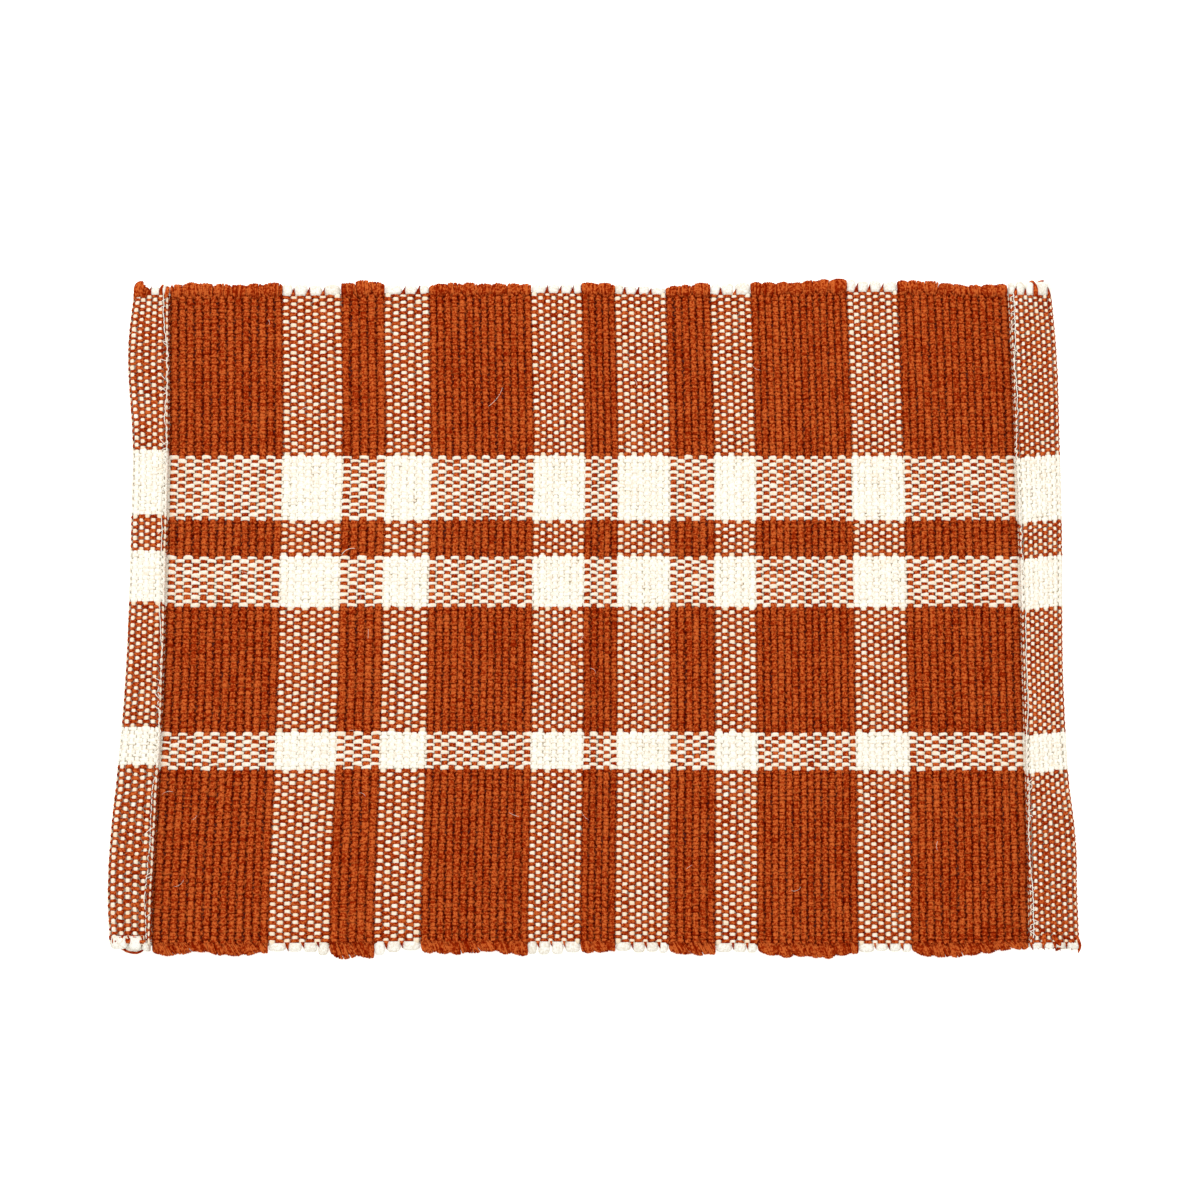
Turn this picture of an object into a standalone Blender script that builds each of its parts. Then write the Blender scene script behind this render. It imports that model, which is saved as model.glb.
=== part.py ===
"""Woven placemat: one plaid cloth with a double-turned hem at each end.

The cloth lies flat with its underside on z = 0 and its middle over the origin.
X runs along its longest side, from hem to hem, and +Y points to its far side.
The weft runs along Y, so the face of the cloth is a row of rounded ribs, one to
each weft column. At the far and near sides the weft turns back in fat loops,
one to each pair of columns. At each end the cloth is turned over twice on to
its front, so a hem has three layers: the body below, the tuck, and the top.

Sizes are in millimetres until the vertices are made.
"""

import math
from collections import namedtuple

import bmesh
import bpy

MM = 0.001
NAME = "placemat"
RUST = (0.53, 0.075, 0.012, 1.0)
ROUGHNESS = 0.95

# Half the thickness of the cloth and the gap between the layers of a hem
BODY_HALF = 1.3
HEM_HALF = 1.0
LAYER_GAP = 0.35

# Heights of the middles of the three layers
BODY_MIDDLE = BODY_HALF
TUCK_MIDDLE = 2 * BODY_HALF + LAYER_GAP + HEM_HALF
TOP_MIDDLE = TUCK_MIDDLE + 2 * HEM_HALF + LAYER_GAP

# Radii of the two bends of a hem, at the middle of the cloth's thickness
INNER_BEND = (TOP_MIDDLE - TUCK_MIDDLE) / 2
OUTER_BEND = (TOP_MIDDLE - BODY_MIDDLE) / 2
BEND_STEPS = 6
HIDDEN_BEND_STEPS = 3

# The tuck ends this far in from the outer edge
TUCK_END = 6.5
LEFT_HEM_COLUMNS = 5
RIGHT_HEM_COLUMNS = 7

# From the mat's middle to the tips of the weft loops
HALF_DEPTH = 165.0
UNDERSIDE_STEPS = 8

# Stripes across the mat, left to right, rust and cream in turn: the weft yarns in each
# and its width
Stripe = namedtuple("Stripe", "yarns width")
STRIPES = (
    Stripe(14, 54.6),
    Stripe(8, 29.2),
    Stripe(5, 21.2),
    Stripe(6, 22.2),
    Stripe(14, 50.5),
    Stripe(8, 25.2),
    Stripe(5, 16.2),
    Stripe(8, 25.5),
    Stripe(6, 21.9),
    Stripe(6, 20.2),
    Stripe(14, 47.5),
    Stripe(8, 25.5),
    Stripe(15, 55.0),
)

# Lines across the mat, near to far: the x of both outer edges and both inner folds
Line = namedtuple("Line", "y left_edge left_fold right_fold right_edge")
OUTLINE = (
    Line(-HALF_DEPTH, -230.6, -210.6, 208.0, 232.6),
    Line(-141.0, -232.6, -210.6, 208.1, 232.2),
    Line(-112.0, -232.3, -210.0, 208.3, 232.3),
    Line(-83.0, -230.2, -209.1, 208.4, 229.8),
    Line(-44.0, -227.8, -208.3, 208.2, 228.6),
    Line(45.0, -226.8, -208.4, 208.0, 230.1),
    Line(80.0, -227.1, -208.6, 207.5, 230.2),
    Line(134.0, -230.8, -210.0, 206.8, 229.8),
    Line(HALF_DEPTH, -228.4, -210.8, 206.2, 227.8),
)

# How far each selvedge stands out past the half depth, along the mat
Wave = namedtuple("Wave", "x far near")
SELVEDGE_WAVES = (
    Wave(-240.0, 0.4, -0.6),
    Wave(-208.0, -1.2, 0.6),
    Wave(-176.0, 0.0, 0.4),
    Wave(-114.0, 1.3, 1.7),
    Wave(-78.0, 0.4, -0.3),
    Wave(-31.0, 0.2, -0.2),
    Wave(2.0, 0.9, -0.8),
    Wave(48.0, -0.2, 0.4),
    Wave(84.0, 1.0, 1.0),
    Wave(120.0, 1.7, 1.5),
    Wave(158.0, 1.3, 1.4),
    Wave(196.0, -0.8, -0.6),
    Wave(240.0, 0.2, -0.8),
)

# The cloth's thickness along its depth. back is how far in from the loops' tips a profile
# lies. plain, crest, inside and between scale half of the cloth's thickness: on its plain
# faces, on the crest of a rib, in the valley inside a weft loop and in the valley between
# two loops. notch is how far the cloth draws in between two loops.
Profile = namedtuple("Profile", "back plain crest inside between notch")
TIP = Profile(0.0, 0.45, 0.5, 0.45, 0.4, 2.0)
ROLL = Profile(2.6, 1.0, 1.12, 1.12, 0.55, 0.9)
GROOVE = Profile(7.0, 1.0, 0.65, 0.5, 0.5, 0.0)
BODY = Profile(None, 1.0, 1.0, 0.55, 0.55, 0.0)
SELVEDGE = (TIP, ROLL, GROOVE)
CREST_SHARE = 0.3

# One point of a section. along counts the stretches of the cloth from the left tuck's end to
# the right one's. draw is its share of the notch: 0 at a loop's tip and 1 between two loops.
Spot = namedtuple("Spot", "along x z draw")
TUCK, FOLD, TOP, EDGE, MIDDLE, STRETCHES = 0, 1, 2, 3, 4, 9


def mix(first, second, share):
    """Return the value that lies the given share of the way from first to second."""
    return first + (second - first) * share


def read_table(rows, key, place):
    """Return a table's row at a place in its key column, mixed from the rows beside it."""
    for low, high in zip(rows, rows[1:]):
        start, end = getattr(low, key), getattr(high, key)
        if start <= place <= end:
            share = (place - start) / (end - start)
            return type(low)(*(mix(a, b, share) for a, b in zip(low, high)))
    raise ValueError(f"{key} = {place} lies outside the table")


def bend(along, centre, radii, angles, steps):
    """Return the spots of an arc whose radius and angle run from one value to another."""
    spots = []
    for step in range(steps + 1):
        share = step / steps
        radius = mix(*radii, share)
        angle = math.radians(mix(*angles, share))
        x = centre[0] + radius * math.cos(angle)
        z = centre[1] + radius * math.sin(angle)
        spots.append(Spot(along + share, x, z, 0.0))
    return spots


def ribbed_face(along, bounds, middle, half, profile, parity):
    """Return a ribbed face: a valley at each bound of a column and a crest between two.

    along holds the values at the first and the last bound.
    """

    def spot(x, rise, draw):
        share = (x - bounds[0]) / (bounds[-1] - bounds[0])
        return Spot(mix(*along, share), x, middle + half * rise, draw)

    spots = []
    for index, bound in enumerate(bounds):
        if index > 0:
            spots.append(spot(mix(bounds[index - 1], bound, 0.5), profile.crest, CREST_SHARE))
        between_loops = (index + parity) % 2 == 0
        spots.append(spot(bound, profile.between if between_loops else profile.inside, float(between_loops)))
    return spots


def hem_faces(width, columns, profile, parity):
    """Return a hem's inside and outside faces, each from the end of the tuck to the body.

    Their x is measured from the outer edge of the mat towards its middle.
    """
    hem_half = HEM_HALF * profile.plain
    body_half = BODY_HALF * profile.plain
    fold = (width - INNER_BEND - HEM_HALF, mix(TUCK_MIDDLE, TOP_MIDDLE, 0.5))
    edge = (OUTER_BEND + mix(HEM_HALF, BODY_HALF, 0.5), mix(BODY_MIDDLE, TOP_MIDDLE, 0.5))
    bounds = [mix(fold[0], edge[0], index / columns) for index in range(columns + 1)]

    fold_radii = (INNER_BEND - hem_half,) * 2
    edge_radii = (OUTER_BEND - hem_half, OUTER_BEND - body_half)
    inside = [Spot(TUCK, TUCK_END, TUCK_MIDDLE + hem_half, 0.0)]
    inside += bend(FOLD, fold, fold_radii, (-90, 90), HIDDEN_BEND_STEPS)
    inside += bend(EDGE, edge, edge_radii, (90, 270), HIDDEN_BEND_STEPS)

    fold_radii = (INNER_BEND + hem_half,) * 2
    edge_radii = (OUTER_BEND + hem_half, OUTER_BEND + body_half)
    outside = [Spot(TUCK, TUCK_END, TUCK_MIDDLE - hem_half, 0.0)]
    outside += bend(FOLD, fold, fold_radii, (-90, 90), BEND_STEPS)[:-1]
    outside += ribbed_face((TOP, EDGE), bounds, TOP_MIDDLE, HEM_HALF, profile, parity)
    outside += bend(EDGE, edge, edge_radii, (90, 270), BEND_STEPS)[1:]
    return inside, outside


def left_hem(line, profile, parity):
    """Return the left hem's faces, in the order of the section."""
    faces = hem_faces(line.left_fold - line.left_edge, LEFT_HEM_COLUMNS, profile, parity)
    return [[spot._replace(x=line.left_edge + spot.x) for spot in face] for face in faces]


def right_hem(line, profile, parity):
    """Return the right hem's faces, turned round to follow the body in the section."""
    faces = hem_faces(line.right_edge - line.right_fold, RIGHT_HEM_COLUMNS, profile, parity)
    return [
        [spot._replace(x=line.right_edge - spot.x, along=STRETCHES - spot.along) for spot in reversed(face)]
        for face in faces
    ]


def body_bounds(line):
    """Return the x of the bounds of all the weft columns between the two inner folds."""
    scale = (line.right_fold - line.left_fold) / sum(stripe.width for stripe in STRIPES)
    bounds = [line.left_fold]
    for stripe in STRIPES:
        start = bounds[-1]
        pitch = stripe.width * scale / stripe.yarns
        bounds += [start + pitch * (index + 1) for index in range(stripe.yarns)]
    return bounds


def section(y, profile, parity):
    """Return the cloth's inside and outside faces, hems included, on one line across it."""
    line = read_table(OUTLINE, "y", y)
    left_inside, left_outside = left_hem(line, profile, parity)
    right_inside, right_outside = right_hem(line, profile, parity)

    start, end = left_outside[-1].x, right_outside[0].x
    bounds = body_bounds(line)
    along = [MIDDLE + (x - start) / (end - start) for x in (bounds[0], bounds[-1])]
    ribs = ribbed_face(along, bounds, BODY_MIDDLE, BODY_HALF, profile, parity)

    height = BODY_MIDDLE - BODY_HALF * profile.plain
    shares = (step / UNDERSIDE_STEPS for step in range(1, UNDERSIDE_STEPS))
    underside = [Spot(MIDDLE + share, mix(start, end, share), height, 0.0) for share in shares]
    return left_inside + ribs + right_inside, left_outside + underside + right_outside


def reach(spot, side, profile):
    """Return how far a spot of a selvedge stands out past its profile's line."""
    wave = read_table(SELVEDGE_WAVES, "x", spot.x)
    return (wave.far if side > 0 else wave.near) - profile.notch * spot.draw


def selvedge_sections(side):
    """Return one selvedge's faces from its tips inward; side is +1 far and -1 near."""
    parity = 0 if side > 0 else 1
    sections = []
    for profile in SELVEDGE:
        y = side * (HALF_DEPTH - profile.back)
        faces = section(y, profile, parity)
        sections.append([[(spot, y + side * reach(spot, side, profile)) for spot in face] for face in faces])
    return sections


def cloth_sections():
    """Return the faces of all sections that the cloth is lofted through, near to far."""
    body = []
    for line in OUTLINE[1:-1]:
        body.append([[(spot, line.y) for spot in face] for face in section(line.y, BODY, 0)])
    return selvedge_sections(-1) + body + selvedge_sections(1)[::-1]


def cap(mesh, inside, outside, faces):
    """Close the cloth's end: join its two faces by triangles, stepping along both of them."""
    i = j = 0
    while i + 1 < len(inside) or j + 1 < len(outside):
        step_inside = j + 1 == len(outside) or (
            i + 1 < len(inside) and faces[0][i + 1][0].along <= faces[1][j + 1][0].along
        )
        if step_inside:
            mesh.faces.new((inside[i], inside[i + 1], outside[j]))
            i += 1
        else:
            mesh.faces.new((inside[i], outside[j + 1], outside[j]))
            j += 1


def loft(sections):
    """Return a closed mesh through the sections, each of them an inside and an outside face."""
    mesh = bmesh.new()
    built = []
    for faces in sections:
        built.append([[mesh.verts.new((MM * s.x, MM * y, MM * s.z)) for s, y in face] for face in faces])
    rings = [inside + outside[::-1] for inside, outside in built]
    for near, far in zip(rings, rings[1:]):
        for index, corner in enumerate(near):
            after = (index + 1) % len(near)
            mesh.faces.new((corner, near[after], far[after], far[index]))
    for end in (0, -1):
        cap(mesh, *built[end], sections[end])
    bmesh.ops.triangulate(mesh, faces=mesh.faces[:])
    bmesh.ops.recalc_face_normals(mesh, faces=mesh.faces[:])
    return mesh


def woven_material():
    """Return the finish of the rust cotton, which covers most of the mat."""
    material = bpy.data.materials.new("rust_cotton")
    material.use_nodes = True
    shader = material.node_tree.nodes["Principled BSDF"]
    shader.inputs["Base Color"].default_value = RUST
    shader.inputs["Roughness"].default_value = ROUGHNESS
    shader.inputs["Metallic"].default_value = 0.0
    material.diffuse_color = RUST
    return material


def build_placemat(collection):
    """Make the placemat's object in a collection."""
    mesh = bpy.data.meshes.new(NAME)
    solid = loft(cloth_sections())
    solid.to_mesh(mesh)
    solid.free()
    mesh.materials.append(woven_material())
    mesh.shade_smooth()
    placemat = bpy.data.objects.new(NAME, mesh)
    collection.objects.link(placemat)
    return placemat


def main():
    """Clear the scene and build the placemat in a collection of its own."""
    for old in list(bpy.data.objects):
        bpy.data.objects.remove(old, do_unlink=True)
    collection = bpy.data.collections.new("woven_placemat")
    bpy.context.scene.collection.children.link(collection)
    build_placemat(collection)


main()
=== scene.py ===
"""Looks of a woven placemat, thread by thread.

The cloth is plain weave: a thick soft weft runs from the near side to the far side, and a
thinner warp runs from hem to hem. Both are rust or cream, in a plaid. At the far and near
sides the weft turns back in fat loops. At the left and right ends the cloth is turned over
twice on to its front and sewn down.

Sizes are millimetres until a mesh is made. X runs along the mat, Y away from the camera.
"""

from __future__ import annotations

import logging
import math
from dataclasses import dataclass, field
from enum import Enum, IntEnum
from typing import Any

import bpy
import numpy as np
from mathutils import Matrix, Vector


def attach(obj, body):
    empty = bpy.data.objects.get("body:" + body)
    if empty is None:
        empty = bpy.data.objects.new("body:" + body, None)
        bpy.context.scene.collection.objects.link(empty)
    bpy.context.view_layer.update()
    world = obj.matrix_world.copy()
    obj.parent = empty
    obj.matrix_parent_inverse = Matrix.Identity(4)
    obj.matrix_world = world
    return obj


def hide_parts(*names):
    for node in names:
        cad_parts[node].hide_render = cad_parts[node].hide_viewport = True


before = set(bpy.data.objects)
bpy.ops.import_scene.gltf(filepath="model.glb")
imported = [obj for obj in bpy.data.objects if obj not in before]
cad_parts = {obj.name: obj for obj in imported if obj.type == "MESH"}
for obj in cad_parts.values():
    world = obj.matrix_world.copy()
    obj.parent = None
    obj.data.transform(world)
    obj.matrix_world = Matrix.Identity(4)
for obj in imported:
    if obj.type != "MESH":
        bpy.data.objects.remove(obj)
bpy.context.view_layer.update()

MM = 0.001
SEED = 11
NODE = "placemat"
log = logging.getLogger("placemat")


class Colour(Enum):
    """The two colours of the yarn."""

    RUST = "rust"
    CREAM = "cream"


class Stretch(IntEnum):
    """The stretches of the folded cloth, from the end that is tucked into a hem."""

    TUCK = 0
    FOLD = 1
    TOP = 2
    EDGE = 3
    UNDER = 4
    BODY = 5


@dataclass(frozen=True)
class Stripe:
    """One stripe of weft yarns across the body, with its width in mm."""

    colour: Colour
    yarns: int
    width: float


@dataclass(frozen=True)
class Band:
    """One band of warp yarns along the mat."""

    colour: Colour
    yarns: int


# Stripes and bands are rust and cream by turns, and the outermost ones are rust
BY_TURNS = (Colour.RUST, Colour.CREAM) * 7

# Yarns and width of each stripe of weft from left to right, between the inner folds of the hems
STRIPE_SIZES = (
    (14, 54.6), (8, 29.2), (5, 21.2), (6, 22.2), (14, 50.5), (8, 25.2), (5, 16.2),
    (8, 25.5), (6, 21.9), (6, 20.2), (14, 47.5), (8, 25.5), (15, 55.0),
)
STRIPES = tuple(Stripe(colour, *size) for colour, size in zip(BY_TURNS, STRIPE_SIZES))

# Bands of warp from the far side to the near side
BANDS = tuple(Band(colour, yarns) for colour, yarns in zip(BY_TURNS, (46, 18, 10, 14, 34, 10, 46)))

# Weft yarns in the left and the right hem, and how many lie before the one on the inner fold
HEM_YARNS = (16, 24)
BEFORE_FOLD = (3, 5)

# Lines across the mat from near to far: y, left edge, left fold, right fold, right edge
OUTLINE = np.array(
    [
        (-165.0, -230.6, -210.6, 208.0, 232.6),
        (-141.0, -232.6, -210.6, 208.1, 232.2),
        (-112.0, -232.3, -210.0, 208.3, 232.3),
        (-83.0, -230.2, -209.1, 208.4, 229.8),
        (-44.0, -227.8, -208.3, 208.2, 228.6),
        (45.0, -226.8, -208.4, 208.0, 230.1),
        (80.0, -227.1, -208.6, 207.5, 230.2),
        (134.0, -230.8, -210.0, 206.8, 229.8),
        (165.0, -228.4, -210.8, 206.2, 227.8),
    ]
)

# How far the far selvedge stands out past its mean, by the place along the mat
FAR_WAVE = np.array(
    [
        (-214.0, -2.0), (-206.0, 0.0), (-185.0, 0.5), (-177.0, -0.2), (-160.0, 0.6),
        (-130.0, 0.4), (-118.0, 1.4), (-110.0, 2.3), (-100.0, 0.6), (-83.0, 0.0),
        (-70.0, 0.8), (-48.0, 0.6), (-33.0, 0.0), (-3.0, 1.2), (12.0, 0.5), (38.0, -1.0),
        (58.0, 0.8), (80.0, 1.3), (101.0, 1.2), (112.0, 2.3), (127.0, 3.2), (140.0, 2.2),
        (155.0, 2.1), (171.0, 1.8), (182.0, 0.3), (204.0, 0.2), (230.0, 0.6),
    ]
)

# The same for the near selvedge, with the fan of loops at its left end
NEAR_WAVE = np.array(
    [
        (-228.0, -6.5), (-224.5, -2.4), (-221.5, -0.4), (-218.2, 0.5), (-215.0, -0.5),
        (-212.4, -1.8), (-210.6, 0.0), (-206.0, 1.2), (-185.0, 0.2), (-174.0, 1.8),
        (-158.0, 0.5), (-130.0, 1.0), (-116.0, 2.7), (-111.0, 2.0), (-106.0, 2.9),
        (-95.0, 0.8), (-83.0, -0.2), (-68.0, 0.9), (-49.0, -0.2), (-34.0, 1.2), (-5.0, 0.5),
        (12.0, -0.4), (38.0, 0.9), (50.0, 1.6), (65.0, 0.6), (79.0, 0.6), (92.0, 2.3),
        (99.0, 1.8), (108.0, 3.0), (119.0, 1.5), (152.0, 0.6), (161.0, 2.3), (183.0, 1.2),
        (192.0, -0.5), (208.0, -1.6), (230.0, -0.8),
    ]
)

# How much further out than evenly spaced ones the outermost warps lie, by the place along
FAR_DRIFT = np.array(
    [
        (-230.0, -1.8), (-212.0, -1.6), (-200.0, -1.0), (-160.0, -1.0), (-107.0, -0.1),
        (-24.0, 0.6), (24.0, 0.0), (74.0, -0.2), (154.0, 1.2), (176.0, 0.6), (202.0, -0.6),
        (212.0, -1.6), (230.0, -1.9),
    ]
)
NEAR_DRIFT = np.array(
    [
        (-230.0, 1.1), (-160.0, 1.4), (-100.0, 0.5), (-20.0, 0.5), (24.0, 0.9), (74.0, 1.4),
        (160.0, 1.5), (230.0, 1.2),
    ]
)

# A strand that wraps a rust turn, from its foot to its tip: share of the way out, height,
# share of its lean, half width, and the painted shade of the groove that it rises from
STRAND = np.array(
    [
        (0.0, -0.1, 0.0, 0.38, 1.0),
        (0.1, 0.45, 0.06, 0.5, 1.0),
        (0.26, 0.95, 0.2, 0.62, 0.6),
        (0.55, 1.05, 0.55, 0.68, 0.1),
        (0.85, 0.7, 0.85, 0.68, 0.0),
        (1.0, -0.1, 1.0, 0.6, 0.0),
        (0.94, -0.85, 1.05, 0.45, 0.0),
    ]
)

# A tip between two cream turns: share of the way out, half width in weft yarns, half thickness
NOTCH = np.array([(0.0, 0.5, 1.2), (0.3, 0.3, 1.25), (0.65, 0.14, 1.1), (1.0, 0.02, 0.6)])

# Rust ends at the corners: half width, share by which it narrows, and four points on its way
TAILS = (
    (1.5, 0.1, (-225.8, 157.5, 6.4), (-226.2, 160.5, 7.4), (-225.6, 163.2, 7.2), (-223.4, 165.0, 6.2)),
    (1.0, 0.1, (-227.0, 158.5, 5.6), (-227.4, 161.5, 6.2), (-226.4, 164.3, 6.0), (-223.8, 165.9, 5.2)),
    (1.2, 0.1, (-224.2, 157.5, 6.6), (-224.3, 160.5, 7.4), (-223.8, 162.3, 7.2), (-222.4, 163.6, 6.4)),
    (1.2, 0.3, (219.6, 157.6, 6.6), (219.7, 160.5, 7.2), (219.6, 163.0, 6.6), (219.4, 165.0, 5.6)),
    (0.6, 0.4, (219.4, 164.6, 5.8), (218.6, 165.6, 5.7), (217.6, 165.7, 5.4), (216.6, 165.2, 5.0)),
    (0.62, 0.4, (219.9, 164.2, 6.0), (221.6, 165.3, 5.9), (223.2, 165.9, 5.6), (224.6, 166.2, 5.2)),
    (0.85, 0.4, (209.4, 157.4, 6.4), (209.7, 159.4, 7.0), (210.0, 161.0, 6.6), (210.3, 162.6, 5.4)),
    (1.1, 0.3, (214.8, -157.0, 6.4), (215.0, -159.6, 7.2), (214.9, -161.6, 6.6), (214.6, -164.0, 5.2)),
    (1.15, 0.3, (219.4, -157.4, 6.4), (221.2, -160.4, 7.2), (222.6, -162.6, 6.4), (220.6, -165.0, 4.8)),
    (1.0, 0.4, (230.0, -157.0, 5.6), (231.2, -159.8, 6.0), (232.2, -162.6, 5.0), (231.6, -165.8, 3.4)),
    (0.55, 0.4, (209.6, -158.4, 6.6), (209.8, -159.8, 7.2), (209.9, -161.4, 6.6), (209.8, -163.0, 5.4)),
    (0.75, 0.3, (-213.6, 163.6, 6.0), (-214.2, 162.4, 6.8), (-214.8, 160.8, 7.2), (-215.2, 158.8, 6.8)),
    (1.1, 0.3, (-211.5, 162.6, 5.6), (-211.4, 160.6, 6.6), (-211.8, 158.6, 7.2), (-212.3, 156.6, 6.8)),
    (0.75, 0.1, (-227.8, -157.0, 6.2), (-227.6, -159.8, 6.4), (-226.6, -162.2, 5.0), (-224.0, -164.2, 3.8)),
    (0.7, 0.3, (-225.0, -163.4, 4.0), (-221.4, -165.2, 3.6), (-217.0, -165.6, 3.6), (-212.8, -163.2, 4.0)),
)


def smooth_read(table: np.ndarray, column: int, place: np.ndarray) -> np.ndarray:
    """Read one column of a table as a smooth curve of its first column.

    Each span is a cubic. Its slope at each end is the mean slope of the spans that meet there.

    Args:
        table: Rows in rising order of their first column.
        column: The column to read.
        place: Where to read it, in the units of the first column.

    Returns:
        The values, in the shape of place.
    """
    xs, ys = table[:, 0], table[:, column]
    slopes = np.gradient(ys, xs)
    place = np.clip(place, xs[0], xs[-1])
    low = np.clip(np.searchsorted(xs, place) - 1, 0, len(xs) - 2)
    span = xs[low + 1] - xs[low]
    t = (place - xs[low]) / span
    ends = ys[low] * (1 + 2 * t) * (1 - t) ** 2 + ys[low + 1] * t**2 * (3 - 2 * t)
    return ends + span * (slopes[low] * t * (1 - t) ** 2 - slopes[low + 1] * t**2 * (1 - t))


def ease(share: np.ndarray) -> np.ndarray:
    """Return a smooth step: 0 up to a share of nothing, 1 from a share of one."""
    t = np.clip(share, 0, 1)
    return t * t * (3 - 2 * t)


def soft_noise(rng: np.random.Generator, tubes: int, stations: int, spread: int) -> np.ndarray:
    """Return noise of unit strength that changes slowly along each yarn.

    White noise is averaged over a window of stations and scaled back to unit strength.

    Args:
        rng: The source of random numbers.
        tubes: How many yarns.
        stations: How many stations along each.
        spread: The window's length in stations.

    Returns:
        An array of tubes by stations.
    """
    white = rng.standard_normal((tubes, stations + spread))
    total = np.cumsum(white, axis=1)
    return (total[:, spread:] - total[:, :-spread]) / math.sqrt(spread)


def run_along(steps: np.ndarray) -> np.ndarray:
    """Add up the steps between stations into the length from each tube's start."""
    return np.concatenate([np.zeros((len(steps), 1)), np.cumsum(steps, axis=1)], axis=1)


@dataclass
class Placed:
    """Points on the cloth's middle surface and the way its front faces there."""

    x: np.ndarray
    z: np.ndarray
    normal_x: np.ndarray
    normal_z: np.ndarray
    squash: np.ndarray

    def raised(self, y: np.ndarray, lift: np.ndarray | float) -> np.ndarray:
        """Return the points moved towards the front, with x, y and z on a new last axis."""
        x, z = self.x + self.normal_x * lift, self.z + self.normal_z * lift
        return np.stack(np.broadcast_arrays(x, y, z), axis=-1)


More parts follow.
